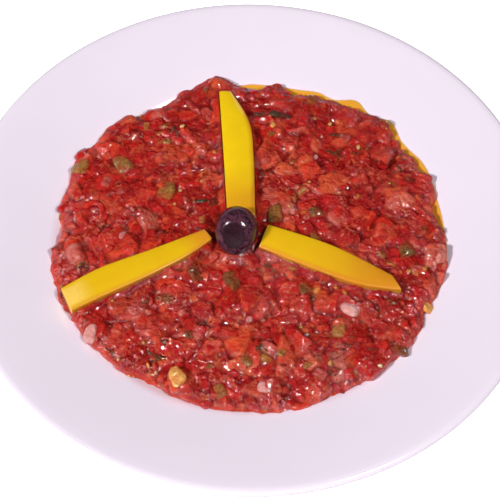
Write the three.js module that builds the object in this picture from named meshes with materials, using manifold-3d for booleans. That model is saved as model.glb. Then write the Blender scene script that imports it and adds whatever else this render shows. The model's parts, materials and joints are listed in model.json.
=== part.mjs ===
// Ezme on its plate: a spread of finely chopped tomato, pepper, onion and herbs on a wide-rimmed round
// porcelain plate, with a little oil at its far edge, three strips of yellow pepper and one black olive.
// Millimetres, +Z up. The origin is under the plate's centre on the table, and -Y is the diner's side.
import * as THREE from "three";
import { mergeVertices } from "three/addons/utils/BufferGeometryUtils.js";
import Module from "manifold-3d";

const wasm = await Module();
wasm.setup();

const TAU = 2 * Math.PI;
const GAP = 0.3; // clearance between pieces that touch

// The plate, from its middle outwards.
const PLATE_RADIUS = 130;
const PLATE_SEGMENTS = 72;
const BODY_THICKNESS = 4.2;
const FLOOR_Z = 7.5;
const FLOOR_RADIUS = 70;
const WALL_ARC = 28; // radius of the hollow curve from the floor up
const WALL_ANGLE = THREE.MathUtils.degToRad(36);
const SHOULDER_ARC = 12; // radius of the round shoulder where the wall turns into the rim
const RIM_ANGLE = THREE.MathUtils.degToRad(15);
const FOOT_RADIUS = 78; // middle of the foot ring
const FOOT_WIDTH = 4;
const FOOT_RECESS = 3;

// The heap of ezme.
const HEAP_RADIUS = 87.6;
const CROWN_Z = 21.4;
const BROW_Z = 18; // height of the heap where its side turns down
const BROW_SHARE = 0.94; // where that is, as a share of the outline's radius
const HEAP_RINGS = 13; // rings of the heap's top, each with six points more than the last
const RELIEF = 0.75; // how far the pulp stands out or sinks in
// Bearing in degrees from +X, reach and half width in degrees of each lobe (+) or bay (-) of the outline.
const LOBES = [
  [48, 2.2, 6],
  [62, 1.6, 5],
  [102, 4.4, 5],
  [122, -3.2, 8],
  [138, 2.4, 5],
  [153, 4.2, 6],
  [180, -3.8, 7],
  [196, 2.6, 9],
  [211, -1.4, 4],
  [240, -2.6, 8],
  [283, 1.2, 8],
  [295, -1.4, 4],
  [320, 1.2, 5],
  [336, -1.4, 5],
];

// The pool of oil along the heap's far right edge, between two bearings.
const OIL_RADIUS = 91.6;
const OIL_FILM = 0.25; // thickness of the pool at its outer edge
const OIL_FROM = THREE.MathUtils.degToRad(-12);
const OIL_TO = THREE.MathUtils.degToRad(96);
const OIL_STATIONS = 40;

// The three strips of yellow pepper: the two long edges of each in plan, from the olive outwards.
const STRIP_THICKNESS = 4;
const STRIP_CROWN = 0.9; // how much thicker a strip is along its middle
const STRIP_STATIONS = 14;
const STRIPS = [
  {
    name: "pepper_strip_back",
    left: [[-10.6, 4.9], [-13, 37.3], [-16.1, 76.2]],
    right: [[2, 4.9], [0.8, 37.6], [-1.6, 57.8], [-10.4, 76.4]],
  },
  {
    name: "pepper_strip_left",
    left: [[-20.8, -3.5], [-43.6, -14.1], [-65.4, -23.1], [-81.8, -33.3]],
    right: [[-16.8, -8.3], [-28, -17.6], [-43.4, -27], [-64.4, -37.9], [-76.4, -44.5]],
  },
  {
    name: "pepper_strip_right",
    left: [[7.8, -0.4], [35.3, -9.8], [62, -24.1]],
    right: [[3.9, -12.2], [35.1, -25.4], [50.3, -30], [66, -31.3]],
  },
];

// The olive: a ball, a little longer than wide, its dished end leaning towards the diner.
const OLIVE_RADIUS = 10;
const OLIVE_HALF_LENGTH = 10.5;
const OLIVE_CENTRE = new THREE.Vector3(-6.2, -5.4, 28);
const OLIVE_AXIS = new THREE.Vector3(-0.11, -0.69, 0.71).normalize();
const OLIVE_DISH_RADIUS = 5.6;
const OLIVE_DISH_DEPTH = 1.2;
const OLIVE_SEGMENTS = 24;

// The chopped pieces that stand out of the pulp. The largest are where they lie on the real heap.
const LARGE_PIECES = [
  // x, y and size of each
  [-78, 34, 8], // green pepper at the left edge
  [-82, 40, 5.5],
  [-59, 35, 6.5],
  [-8, -27, 7], // round green piece in front of the olive
  [69, -7, 8], // green pepper at the right
  [28, 75, 6],
  [-38, 19, 6.5],
  [44, -40, 9.5], // onion
  [7, -77, 9], // onion at the front
  [-66, -54, 7],
  [-30, -75, 8.5], // yellowish piece at the front
  [18, -45, 7],
  [-58, 19, 7],
  [-66, 25, 6.5],
  [37, 15, 9], // red pepper
  [75, -29, 7.5],
  [56, -58, 8],
  [44, -70, 8],
  [60, 4, 7],
  [-80, -10, 8],
  [-29, 44, 7],
  [-27, -58, 9],
  [64, -58, 6.5],
  [30, -71, 7.5],
  [6, 36, 6.5],
  [-14, -80, 7],
];
const SMALL_PIECE = 5; // mean size of the others
const PIECE_SPACING = 11.2;
const EDGE_SPACING = THREE.MathUtils.degToRad(11);
const BARE_MARGIN = 1.2; // bare pulp kept round a topping

// A seeded random draw from 0 to 1.
function drawFrom(seed) {
  let state = seed >>> 0;
  return () => {
    state = (state + 0x6d2b79f5) >>> 0;
    let t = Math.imul(state ^ (state >>> 15), state | 1);
    t ^= t + Math.imul(t ^ (t >>> 7), t | 61);
    return ((t ^ (t >>> 14)) >>> 0) / 4294967296;
  };
}

// Height of the plate's upper surface at a radius.
const WALL_END = FLOOR_RADIUS + WALL_ARC * Math.sin(WALL_ANGLE);
const SHOULDER_R = WALL_END + SHOULDER_ARC * Math.sin(WALL_ANGLE);
const SHOULDER_Z = FLOOR_Z + WALL_ARC - (WALL_ARC + SHOULDER_ARC) * Math.cos(WALL_ANGLE);
const RIM_START = SHOULDER_R - SHOULDER_ARC * Math.sin(RIM_ANGLE);
function plateZ(r) {
  if (r <= FLOOR_RADIUS) return FLOOR_Z;
  if (r <= WALL_END) return FLOOR_Z + WALL_ARC - Math.sqrt(WALL_ARC ** 2 - (r - FLOOR_RADIUS) ** 2);
  if (r <= RIM_START) return SHOULDER_Z + Math.sqrt(SHOULDER_ARC ** 2 - (SHOULDER_R - r) ** 2);
  return SHOULDER_Z + SHOULDER_ARC * Math.cos(RIM_ANGLE) + (r - RIM_START) * Math.tan(RIM_ANGLE);
}

// Radii from one to another in equal steps, both ends included.
function spread(from, to, steps) {
  return Array.from({ length: steps + 1 }, (_, i) => from + ((to - from) * i) / steps);
}

// The plate is one profile turned round: recess, foot ring, underside, rounded lip, rim, shoulder, floor.
function plateGeometry() {
  const lipR = PLATE_RADIUS - BODY_THICKNESS / 2;
  const lipZ = plateZ(lipR) - BODY_THICKNESS / 2;
  const footIn = FOOT_RADIUS - FOOT_WIDTH / 2;
  const footOut = FOOT_RADIUS + FOOT_WIDTH / 2;
  const underside = spread(footOut + 1.5, lipR - 3, 6).map((r) => [r, plateZ(r) - BODY_THICKNESS]);
  const lip = spread(-75, 75, 5).map((degrees) => {
    const a = THREE.MathUtils.degToRad(degrees);
    return [lipR + (BODY_THICKNESS / 2) * Math.cos(a), lipZ + (BODY_THICKNESS / 2) * Math.sin(a)];
  });
  const upper = [
    ...spread(lipR - 3, RIM_START, 2),
    ...spread(RIM_START, WALL_END, 2).slice(1),
    ...spread(WALL_END, FLOOR_RADIUS, 4).slice(1),
  ].map((r) => [r, plateZ(r)]);
  const profile = [
    [0, FOOT_RECESS],
    [footIn - 1, FOOT_RECESS],
    [footIn, 0],
    [footOut, 0],
    ...underside,
    ...lip,
    ...upper,
    [0, FLOOR_Z],
  ].map(([r, z]) => new THREE.Vector2(r, z));
  return new THREE.LatheGeometry(profile, PLATE_SEGMENTS).rotateX(Math.PI / 2);
}

// The heap's outline: its radius at a bearing.
function outline(bearing) {
  const degrees = THREE.MathUtils.radToDeg(bearing);
  return LOBES.reduce((radius, [at, reach, width]) => {
    const off = THREE.MathUtils.euclideanModulo(degrees - at + 180, 360) - 180;
    return radius + reach * Math.exp(-((off / width) ** 2));
  }, HEAP_RADIUS);
}

// Height of the heap's smooth top at a share of the outline's radius, carried on past the brow.
function domeZ(share) {
  return CROWN_Z - (CROWN_Z - BROW_Z) * (share / BROW_SHARE) ** 2;
}

// Height of the bare pulp under a place in plan.
function pulpZ(x, y) {
  return domeZ(Math.hypot(x, y) / outline(Math.atan2(y, x)));
}

// Distance from a place in plan to a strip's outline, negative inside it.
function distanceToStrip(strip, x, y) {
  const corners = [...strip.left, ...[...strip.right].reverse()];
  let nearest = Infinity;
  let inside = false;
  corners.forEach(([ax, ay], i) => {
    const [bx, by] = corners[(i + 1) % corners.length];
    const t = ((x - ax) * (bx - ax) + (y - ay) * (by - ay)) / ((bx - ax) ** 2 + (by - ay) ** 2);
    const s = THREE.MathUtils.clamp(t, 0, 1);
    nearest = Math.min(nearest, Math.hypot(x - ax - s * (bx - ax), y - ay - s * (by - ay)));
    if (ay > y !== by > y && x < ax + ((y - ay) * (bx - ax)) / (by - ay)) inside = !inside;
  });
  return inside ? -nearest : nearest;
}

// Distance in plan from a place to the nearest topping.
function distanceToToppings(x, y) {
  const olive = Math.hypot(x - OLIVE_CENTRE.x, y - OLIVE_CENTRE.y) - OLIVE_RADIUS;
  return Math.min(olive, ...STRIPS.map((strip) => distanceToStrip(strip, x, y)));
}

// A closed geometry skinned over rings of points, each going round the same way. The first and last rings
// are single points. Neighbouring rings may have different numbers of points.
function skin(rings) {
  const points = rings.flat();
  const faces = [];
  let start = 0;
  for (let k = 0; k + 1 < rings.length; k += 1) {
    const [m, n] = [rings[k].length, rings[k + 1].length];
    const inner = (i) => start + (i % m);
    const outer = (j) => start + m + (j % n);
    let [i, j] = [0, 0];
    while ((m > 1 && i < m) || (n > 1 && j < n)) {
      const stepOuter = m === 1 || (n > 1 && (j + 1) / n <= (i + 1) / m + 1e-9);
      if (stepOuter) {
        faces.push([inner(i), outer(j), outer(j + 1)]);
        j += 1;
      } else {
        faces.push([inner(i), outer(j), inner(i + 1)]);
        i += 1;
      }
    }
    start += m;
  }
  const volume = faces.reduce((sum, [a, b, c]) => {
    const cross = new THREE.Vector3().crossVectors(points[b], points[c]);
    return sum + points[a].dot(cross);
  }, 0);
  const facing = volume > 0 ? faces : faces.map(([a, b, c]) => [a, c, b]);
  const geometry = new THREE.BufferGeometry().setFromPoints(points);
  return geometry.setIndex(facing.flat());
}

// A geometry as a manifold-3d solid, and back.
function solidOf(geometry) {
  const bare = geometry.clone();
  bare.deleteAttribute("normal");
  bare.deleteAttribute("uv");
  const merged = mergeVertices(bare, 1e-4);
  return new wasm.Manifold(
    new wasm.Mesh({
      numProp: 3,
      vertProperties: new Float32Array(merged.attributes.position.array),
      triVerts: new Uint32Array(merged.index.array),
    }),
  );
}
function geometryOf(solid) {
  const { vertProperties, triVerts } = solid.getMesh();
  const geometry = new THREE.BufferGeometry();
  geometry.setAttribute("position", new THREE.BufferAttribute(vertProperties, 3));
  return geometry.setIndex(new THREE.BufferAttribute(triVerts, 1));
}

// The bare pulp: a low uneven dome whose side turns down to the plate, over a base that fits the plate.
function pulpSolid() {
  const draw = drawFrom(11);
  const rings = [[new THREE.Vector3(0, 0, CROWN_Z)]];
  for (let k = 1; k <= HEAP_RINGS; k += 1) {
    const share = (BROW_SHARE * k) / HEAP_RINGS;
    rings.push(
      Array.from({ length: 6 * k }, (_, i) => {
        const bearing = (TAU * i) / (6 * k);
        const radius = share * outline(bearing);
        const [x, y] = [radius * Math.cos(bearing), radius * Math.sin(bearing)];
        const bare = THREE.MathUtils.smoothstep(distanceToToppings(x, y), 6, 11);
        return new THREE.Vector3(x, y, domeZ(share) + RELIEF * (2 * draw() - 1) * bare);
      }),
    );
  }
  const columns = 6 * HEAP_RINGS;
  const ring = (radiusAt, heightAt) =>
    Array.from({ length: columns }, (_, i) => {
      const bearing = (TAU * i) / columns;
      const radius = radiusAt(bearing);
      const [x, y] = [radius * Math.cos(bearing), radius * Math.sin(bearing)];
      return new THREE.Vector3(x, y, heightAt(radius, bearing));
    });
  const footZ = (bearing) => plateZ(outline(bearing)) + GAP;
  const sideShare = (BROW_SHARE + 2) / 3;
  rings.push(
    ring(
      (bearing) => outline(bearing) * sideShare,
      (_, bearing) => footZ(bearing) + (BROW_Z - footZ(bearing)) * 0.78,
    ),
    ring(outline, (radius) => plateZ(radius) + GAP),
    ring((bearing) => (2 * outline(bearing) + 80) / 3, (radius) => plateZ(radius) + GAP),
    ring((bearing) => (outline(bearing) + 160) / 3, (radius) => plateZ(radius) + GAP),
    ring(() => 80, (radius) => plateZ(radius) + GAP),
    ring(() => 75, (radius) => plateZ(radius) + GAP),
    ring(() => FLOOR_RADIUS, () => FLOOR_Z + GAP),
    [new THREE.Vector3(0, 0, FLOOR_Z + GAP)],
  );
  return solidOf(skin(rings));
}

// A chopped piece: a block with its corners knocked about, turned any way and half sunk in the pulp.
function choppedPiece(x, y, size, draw) {
  const block = new THREE.BoxGeometry(size, size * (0.6 + 0.3 * draw()), size * (0.5 + 0.25 * draw()));
  block.deleteAttribute("normal");
  block.deleteAttribute("uv");
  const piece = mergeVertices(block);
  const position = piece.attributes.position;
  for (let i = 0; i < position.count; i += 1) {
    const nudge = () => 1 - 0.38 * draw();
    position.setXYZ(i, position.getX(i) * nudge(), position.getY(i) * nudge(), position.getZ(i) * nudge());
  }
  const lean = () => 0.7 * (draw() - 0.5);
  piece.applyMatrix4(new THREE.Matrix4().makeRotationFromEuler(new THREE.Euler(lean(), lean(), TAU * draw())));
  piece.translate(x, y, pulpZ(x, y) + size * (0.02 + 0.1 * draw()));
  return solidOf(piece);
}

// The space a piece may fill: over the plate, clear of it and of the oil.
function roomOverPlate() {
  const ceiling = CROWN_Z + 20;
  const wall = spread(100, 76, 8).map((r) => new THREE.Vector2(r, plateZ(r) + GAP + 0.06));
  const profile = [
    new THREE.Vector2(0, FLOOR_Z + 2),
    new THREE.Vector2(75, FLOOR_Z + 2),
    ...wall.reverse(),
    new THREE.Vector2(100, ceiling),
    new THREE.Vector2(0, ceiling),
  ];
  return solidOf(new THREE.LatheGeometry(profile, 96).rotateX(Math.PI / 2));
}

// The pool of oil: level on top, its foot on the plate and its inner side along the heap, grown by a margin.
function oilGeometry(margin) {
  const level = plateZ(OIL_RADIUS) + GAP + OIL_FILM;
  const ends = margin / HEAP_RADIUS;
  const sections = spread(OIL_FROM - ends, OIL_TO + ends, OIL_STATIONS).map((bearing) => {
    const inner = outline(bearing) + GAP - margin;
    const outer = OIL_RADIUS + margin;
    const at = (r, z) => new THREE.Vector3(r * Math.cos(bearing), r * Math.sin(bearing), z);
    return [
      at(inner, plateZ(inner) + GAP - margin),
      at(outer, plateZ(outer) + GAP - margin),
      at(outer, level + margin),
      at(inner, level + margin),
    ];
  });
  const middle = (section) => section.reduce((sum, p) => sum.add(p), new THREE.Vector3()).divideScalar(4);
  return skin([[middle(sections[0])], ...sections, [middle(sections.at(-1))]]);
}

// Where the smaller chopped pieces go: evenly over the heap, then along its edge.
function scatteredPieces(draw) {
  const places = [];
  const clear = (x, y, size) =>
    distanceToToppings(x, y) > size * 0.75 + BARE_MARGIN &&
    [...LARGE_PIECES, ...places].every(([px, py, other]) => Math.hypot(px - x, py - y) > 0.55 * (size + other));
  const golden = Math.PI * (3 - Math.sqrt(5));
  const count = Math.round((HEAP_RADIUS / PIECE_SPACING) ** 2 * Math.PI);
  for (let i = 0; i < count; i += 1) {
    const bearing = i * golden + 0.25 * draw();
    const radius = HEAP_RADIUS * 0.9 * Math.sqrt((i + 0.5) / count);
    const [x, y] = [radius * Math.cos(bearing), radius * Math.sin(bearing)];
    const size = SMALL_PIECE * (0.75 + 0.7 * draw());
    if (clear(x, y, size)) places.push([x, y, size]);
  }
  for (let bearing = 0; bearing < TAU; bearing += EDGE_SPACING) {
    const at = bearing + EDGE_SPACING * 0.4 * draw();
    const size = SMALL_PIECE * (0.9 + 0.6 * draw());
    const radius = outline(at) - size * (0.3 + 0.25 * draw());
    const [x, y] = [radius * Math.cos(at), radius * Math.sin(at)];
    if (clear(x, y, size)) places.push([x, y, size]);
  }
  return places;
}

// The ezme is the pulp with its chopped pieces fused on, and a seat for the olive.
function ezmeGeometry() {
  const draw = drawFrom(5);
  const room = roomOverPlate().subtract(solidOf(oilGeometry(GAP + 0.06)));
  const pieces = [...LARGE_PIECES, ...scatteredPieces(draw)].map(([x, y, size]) => {
    const piece = choppedPiece(x, y, size, draw);
    return Math.hypot(x, y) + size > HEAP_RADIUS - 4 ? piece.intersect(room) : piece;
  });
  const heap = pieces.reduce((sum, piece) => sum.add(piece), pulpSolid());
  const seat = new THREE.SphereGeometry(OLIVE_HALF_LENGTH + GAP, OLIVE_SEGMENTS, 16);
  seat.translate(OLIVE_CENTRE.x, OLIVE_CENTRE.y, OLIVE_CENTRE.z);
  const parts = heap.subtract(solidOf(seat)).decompose();
  const whole = parts.reduce((a, b) => (a.volume() > b.volume() ? a : b));
  return geometryOf(whole);
}

// A strip of pepper: sections between its two long edges, flat below, crowned above, laid along the pulp.
function stripGeometry({ left, right }) {
  const curve = (points) => new THREE.SplineCurve(points.map(([x, y]) => new THREE.Vector2(x, y)));
  const [leftEdge, rightEdge] = [curve(left), curve(right)];
  // Share of the width and of the thickness at each corner of the section.
  const corners = [
    [0, 0.12],
    [0, 0.86],
    [0.07, 1],
    [0.3, 1],
    [0.5, 1],
    [0.7, 1],
    [0.93, 1],
    [1, 0.86],
    [1, 0.12],
    [0.94, 0],
    [0.5, 0],
    [0.06, 0],
  ];
  const sections = spread(0, 1, STRIP_STATIONS).map((along) => {
    const a = leftEdge.getPointAt(along);
    const b = rightEdge.getPointAt(along);
    return corners.map(([across, up]) => {
      const p = a.clone().lerp(b, across);
      const crown = STRIP_CROWN * (1 - (2 * across - 1) ** 2) * up;
      return new THREE.Vector3(p.x, p.y, pulpZ(p.x, p.y) + GAP + STRIP_THICKNESS * up + crown);
    });
  });
  const middle = (section) =>
    section.reduce((sum, p) => sum.add(p), new THREE.Vector3()).divideScalar(section.length);
  return skin([[middle(sections[0])], ...sections, [middle(sections.at(-1))]]);
}

// The olive is a turned profile along its own axis, with a dish at the end it shows.
function oliveGeometry() {
  const dishAngle = Math.asin(OLIVE_DISH_RADIUS / OLIVE_RADIUS);
  const rimZ = OLIVE_HALF_LENGTH * Math.cos(dishAngle);
  const shell = spread(-Math.PI / 2, Math.PI / 2 - dishAngle, 11)
    .slice(1)
    .map((a) => [OLIVE_RADIUS * Math.cos(a), OLIVE_HALF_LENGTH * Math.sin(a)]);
  const dish = [
    [OLIVE_DISH_RADIUS * 0.86, rimZ + 0.25],
    [OLIVE_DISH_RADIUS * 0.66, rimZ - OLIVE_DISH_DEPTH * 0.35],
    [OLIVE_DISH_RADIUS * 0.35, rimZ - OLIVE_DISH_DEPTH * 0.8],
    [0, rimZ - OLIVE_DISH_DEPTH],
  ];
  const profile = [[0, -OLIVE_HALF_LENGTH], ...shell, ...dish].map(([r, z]) => new THREE.Vector2(r, z));
  const geometry = new THREE.LatheGeometry(profile, OLIVE_SEGMENTS);
  const turn = new THREE.Quaternion().setFromUnitVectors(new THREE.Vector3(0, 1, 0), OLIVE_AXIS);
  return geometry.applyQuaternion(turn);
}

// A named mesh with its own material.
function piece(name, geometry, color, roughness) {
  const mesh = new THREE.Mesh(geometry, new THREE.MeshStandardMaterial({ color, roughness, metalness: 0 }));
  mesh.name = name;
  return mesh;
}

const group = new THREE.Group();
group.add(piece("plate", plateGeometry(), 0xf0e6f2, 0.15));
group.add(piece("ezme", ezmeGeometry(), 0xb32820, 0.3));
group.add(piece("oil_pool", oilGeometry(0), 0xd9922e, 0.1));
STRIPS.forEach((strip) => group.add(piece(strip.name, stripGeometry(strip), 0xedc01c, 0.3)));
const olive = piece("olive", oliveGeometry(), 0x37202b, 0.2);
olive.position.copy(OLIVE_CENTRE);
group.add(olive);

export default group;
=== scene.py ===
"""Looks of a plate of ezme: a wet, finely chopped tomato, pepper, onion and herb spread on a wide-rimmed
porcelain plate, with three strips of yellow pepper and a black olive.

Lengths are in millimetres, as the real thing is measured, and MM turns them into metres where a mesh is made.
+Z is up, and -Y is the diner's side.
"""

import json
import logging
import math
from dataclasses import dataclass, field
from enum import Enum
from typing import Any, Iterable

import bmesh
import bpy
import numpy as np
from mathutils import Matrix, Vector

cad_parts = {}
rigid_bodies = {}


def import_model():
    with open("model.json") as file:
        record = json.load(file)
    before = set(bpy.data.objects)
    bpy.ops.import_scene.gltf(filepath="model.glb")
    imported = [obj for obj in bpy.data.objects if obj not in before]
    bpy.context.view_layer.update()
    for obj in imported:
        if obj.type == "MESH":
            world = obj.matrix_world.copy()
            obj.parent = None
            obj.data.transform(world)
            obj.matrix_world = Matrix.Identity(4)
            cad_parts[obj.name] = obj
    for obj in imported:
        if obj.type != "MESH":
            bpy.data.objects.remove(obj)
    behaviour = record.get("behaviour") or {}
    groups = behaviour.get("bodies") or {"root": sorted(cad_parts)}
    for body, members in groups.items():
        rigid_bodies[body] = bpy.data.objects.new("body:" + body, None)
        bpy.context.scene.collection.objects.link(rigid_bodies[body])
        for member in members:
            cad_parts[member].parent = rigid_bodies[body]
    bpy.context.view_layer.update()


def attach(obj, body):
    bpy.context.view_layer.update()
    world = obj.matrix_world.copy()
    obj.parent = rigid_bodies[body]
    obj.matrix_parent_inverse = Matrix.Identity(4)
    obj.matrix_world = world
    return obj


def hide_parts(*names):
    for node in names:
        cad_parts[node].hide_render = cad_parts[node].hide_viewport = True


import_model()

LOG = logging.getLogger("ezme")
MM = 0.001
TAU = 2 * math.pi
GAP = 0.3
ON_AXIS = 1e-9
ROOT = "root"
Array = np.ndarray
Colour = tuple[float, float, float]
Faces = list[tuple[int, ...]]


def linear(colour: Colour) -> Colour:
    """Linear values of a colour given as 8-bit sRGB.

    Args:
        colour: red, green and blue from 0 to 255.

    Returns:
        The same colour for a shader, from 0 to 1.
    """
    shares = (value / 255 for value in colour)
    return tuple(s / 12.92 if s <= 0.04045 else ((s + 0.055) / 1.055) ** 2.4 for s in shares)


def rgba(colour: Colour) -> tuple[float, float, float, float]:
    """Linear colour of an 8-bit sRGB one, with full alpha."""
    return (*linear(colour), 1.0)


def smoothstep(low: float, high: float, values: Array | float) -> Array:
    """Smooth rise from 0 at low to 1 at high."""
    t = np.clip((values - low) / (high - low), 0, 1)
    return t * t * (3 - 2 * t)


def lattice_noise(x: Array, y: Array, cell: float, seed: int) -> Array:
    """Smooth random relief over a plane.

    Args:
        x: places along X.
        y: places along Y.
        cell: size of its bumps.
        seed: seed of the draw.

    Returns:
        Values from -1 to 1.
    """
    cells = 256
    grid = np.random.default_rng(seed).uniform(-1, 1, (cells, cells))
    fx, fy = x / cell + cells / 2, y / cell + cells / 2
    ix, iy = np.floor(fx).astype(int), np.floor(fy).astype(int)
    tx, ty = fx - ix, fy - iy
    tx, ty = tx * tx * (3 - 2 * tx), ty * ty * (3 - 2 * ty)

    def at(dx: int, dy: int) -> Array:
        """Value at a corner of each point's cell."""
        return grid[(ix + dx) % cells, (iy + dy) % cells]

    low = at(0, 0) * (1 - tx) + at(1, 0) * tx
    high = at(0, 1) * (1 - tx) + at(1, 1) * tx
    return low * (1 - ty) + high * ty


class Wire:
    """A number on its way through a node tree. Arithmetic on it adds Math nodes."""

    def __init__(self, graph: "Graph", socket: bpy.types.NodeSocket) -> None:
        """Wraps an output socket of the graph."""
        self.graph = graph
        self.socket = socket

    def _math(self, operation: str, *values: Any) -> "Wire":
        """Adds a Math node on the values and returns its result."""
        made = self.graph.node("ShaderNodeMath", {"operation": operation}, dict(enumerate(values)))
        return Wire(self.graph, made.outputs[0])

    def __add__(self, other: Any) -> "Wire":
        """Sum."""
        return self._math("ADD", self, other)

    def __sub__(self, other: Any) -> "Wire":
        """Difference."""
        return self._math("SUBTRACT", self, other)

    def __rsub__(self, other: Any) -> "Wire":
        """Difference from a number."""
        return self._math("SUBTRACT", other, self)

    def __mul__(self, other: Any) -> "Wire":
        """Product."""
        return self._math("MULTIPLY", self, other)

    __radd__ = __add__
    __rmul__ = __mul__

    def ramp(self, low: float, high: float) -> "Wire":
        """Smooth rise from 0 at low to 1 at high."""
        values = {"Value": self, "From Min": low, "From Max": high}
        made = self.graph.node("ShaderNodeMapRange", {"interpolation_type": "SMOOTHSTEP"}, values)
        return Wire(self.graph, made.outputs["Result"])


class Graph:
    """A node tree that is being built."""

    def __init__(self, tree: bpy.types.NodeTree) -> None:
        """Takes an empty tree."""
        self.tree = tree

    def node(self, kind: str, settings: dict | None = None, values: dict | None = None) -> bpy.types.Node:
        """Adds a node.

        Args:
            kind: the node's type.
            settings: its properties, set first; stops are a colour ramp's places and colours.
            values: numbers, colours, sockets or wires of its inputs, by name or place.

        Returns:
            The node.
        """
        made = self.tree.nodes.new(kind)
        for name, value in (settings or {}).items():
            if name == "stops":
                self._set_stops(made.color_ramp, value)
            else:
                setattr(made, name, value)
        for key, value in (values or {}).items():
            source = value.socket if isinstance(value, Wire) else value
            if isinstance(source, bpy.types.NodeSocket):
                self.tree.links.new(source, made.inputs[key])
            else:
                made.inputs[key].default_value = source
        return made

    @staticmethod
    def _set_stops(ramp: bpy.types.ColorRamp, stops: Iterable[tuple[float, tuple]]) -> None:
        """Gives a ramp its stops."""
        for index, (place, colour) in enumerate(stops):
            stop = ramp.elements[index] if index < 2 else ramp.elements.new(place)
            stop.position = place
            stop.color = colour


class Shader(Graph):
    """The node tree of one material, with the textures that the finishes share."""

    def __init__(self, name: str) -> None:
        """Starts a material with an empty tree."""
        self.material = bpy.data.materials.new(name)
        self.material.use_nodes = True
        super().__init__(self.material.node_tree)
        self.tree.nodes.clear()
        self.place = self.node("ShaderNodeTexCoord").outputs["Object"]

    def noise(self, size: float, detail: float = 2.0, distortion: float = 0.0) -> Wire:
        """Noise from 0 to 1 with bumps of a size in millimetres."""
        values = {"Vector": self.place, "Scale": 1 / (size * MM), "Detail": detail, "Distortion": distortion}
        return Wire(self, self.node("ShaderNodeTexNoise", None, values).outputs["Fac"])

    def cells(self, size: float) -> Wire:
        """Distance from the middles of cells of a size in millimetres, 0 in the middles."""
        values = {"Vector": self.place, "Scale": 1 / (size * MM)}
        return Wire(self, self.node("ShaderNodeTexVoronoi", None, values).outputs["Distance"])

    def height(self) -> Wire:
        """Height above the table in millimetres."""
        parts = self.node("ShaderNodeSeparateXYZ", None, {0: self.place})
        return Wire(self, parts.outputs["Z"]) * (1 / MM)

    def attribute(self, name: str) -> Wire:
        """A number kept on the mesh."""
        return Wire(self, self.node("ShaderNodeAttribute", {"attribute_name": name}).outputs["Fac"])

    def paint(self, name: str) -> bpy.types.NodeSocket:
        """A colour kept on the mesh."""
        return self.node("ShaderNodeAttribute", {"attribute_name": name}).outputs["Color"]

    def mix(self, share: Any, first: Any, second: Any, blend: str = "MIX") -> bpy.types.NodeSocket:
        """Colour from first at a share of 0 to second at 1."""
        settings = {"data_type": "RGBA", "blend_type": blend}
        return self.node("ShaderNodeMix", settings, {0: share, 6: first, 7: second}).outputs[2]

    def darkened(self, colour: bpy.types.NodeSocket, by: Colour) -> bpy.types.NodeSocket:
        """Colour times a linear one."""
        return self.mix(1.0, colour, (*by, 1), "MULTIPLY")

    def shades(self, tone: Wire, colours: Iterable[Colour]) -> bpy.types.NodeSocket:
        """Colour from a row of them, the first at a tone of 0 and the last at 1."""
        row = list(colours)
        stops = [(i / (len(row) - 1), rgba(c)) for i, c in enumerate(row)]
        return self.node("ShaderNodeValToRGB", {"stops": stops}, {0: tone}).outputs["Color"]

    def bump(self, height: Wire, depth: float, strength: float = 1.0) -> bpy.types.NodeSocket:
        """Normal of a relief whose heights, from 0 to 1, span a depth in millimetres."""
        values = {"Height": height, "Distance": depth * MM, "Strength": strength}
        return self.node("ShaderNodeBump", None, values).outputs["Normal"]

    def sheet(self) -> Wire:
        """Where a film of sauce lies over everything, from 0 to 1."""
        return self.noise(6, 2, 0.5).ramp(0.4, 0.64)

    def wet_relief(self, beady: Any, waves: Any) -> Wire:
        """Relief of wet chopped flesh in millimetres.

        Args:
            beady: how much of it is small beads, from 0 to 1.
            waves: how deep its soft waves are, in millimetres.

        Returns:
            The relief.
        """
        swell = self.noise(1.9, 0, 0.3) * waves
        return swell + self.noise(1.05, 0) * (0.1 + 0.3 * beady) + self.noise(0.62, 0) * (0.02 + 0.05 * beady)

    def grained(self, colour: bpy.types.NodeSocket, size: float, share: float) -> bpy.types.NodeSocket:
        """Colour with small paler and darker grains.

        Args:
            colour: what the grains lie in.
            size: size of a grain in millimetres.
            share: how strong they are, from 0 to 1.

        Returns:
            The colour.
        """
        grains = self.noise(size, 4, 0.8)
        paler = self.mix(0.34, colour, (0.64, 0.24, 0.11, 1))
        darker = self.darkened(colour, (0.8, 0.48, 0.48))
        spotted = self.mix(grains.ramp(0.54, 0.7) * share, colour, paler)
        return self.mix(grains.ramp(0.46, 0.3) * share, spotted, darker)

    def surface(self, values: dict, other: dict | None = None, share: Any = 0.0) -> bpy.types.Material:
        """Ends the tree in a Principled shader, or in a mix of two.

        Args:
            values: its inputs.
            other: inputs that a second one has instead, if there is one.
            share: how much of the second one shows, from 0 to 1.

        Returns:
            The material.
        """
        settings = {"subsurface_method": "RANDOM_WALK"}
        closure = self.node("ShaderNodeBsdfPrincipled", settings, values).outputs[0]
        if other:
            second = self.node("ShaderNodeBsdfPrincipled", settings, {**values, **other}).outputs[0]
            closure = self.node("ShaderNodeMixShader", None, {0: share, 1: closure, 2: second}).outputs[0]
        self.node("ShaderNodeOutputMaterial", None, {"Surface": closure})
        return self.material


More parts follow.
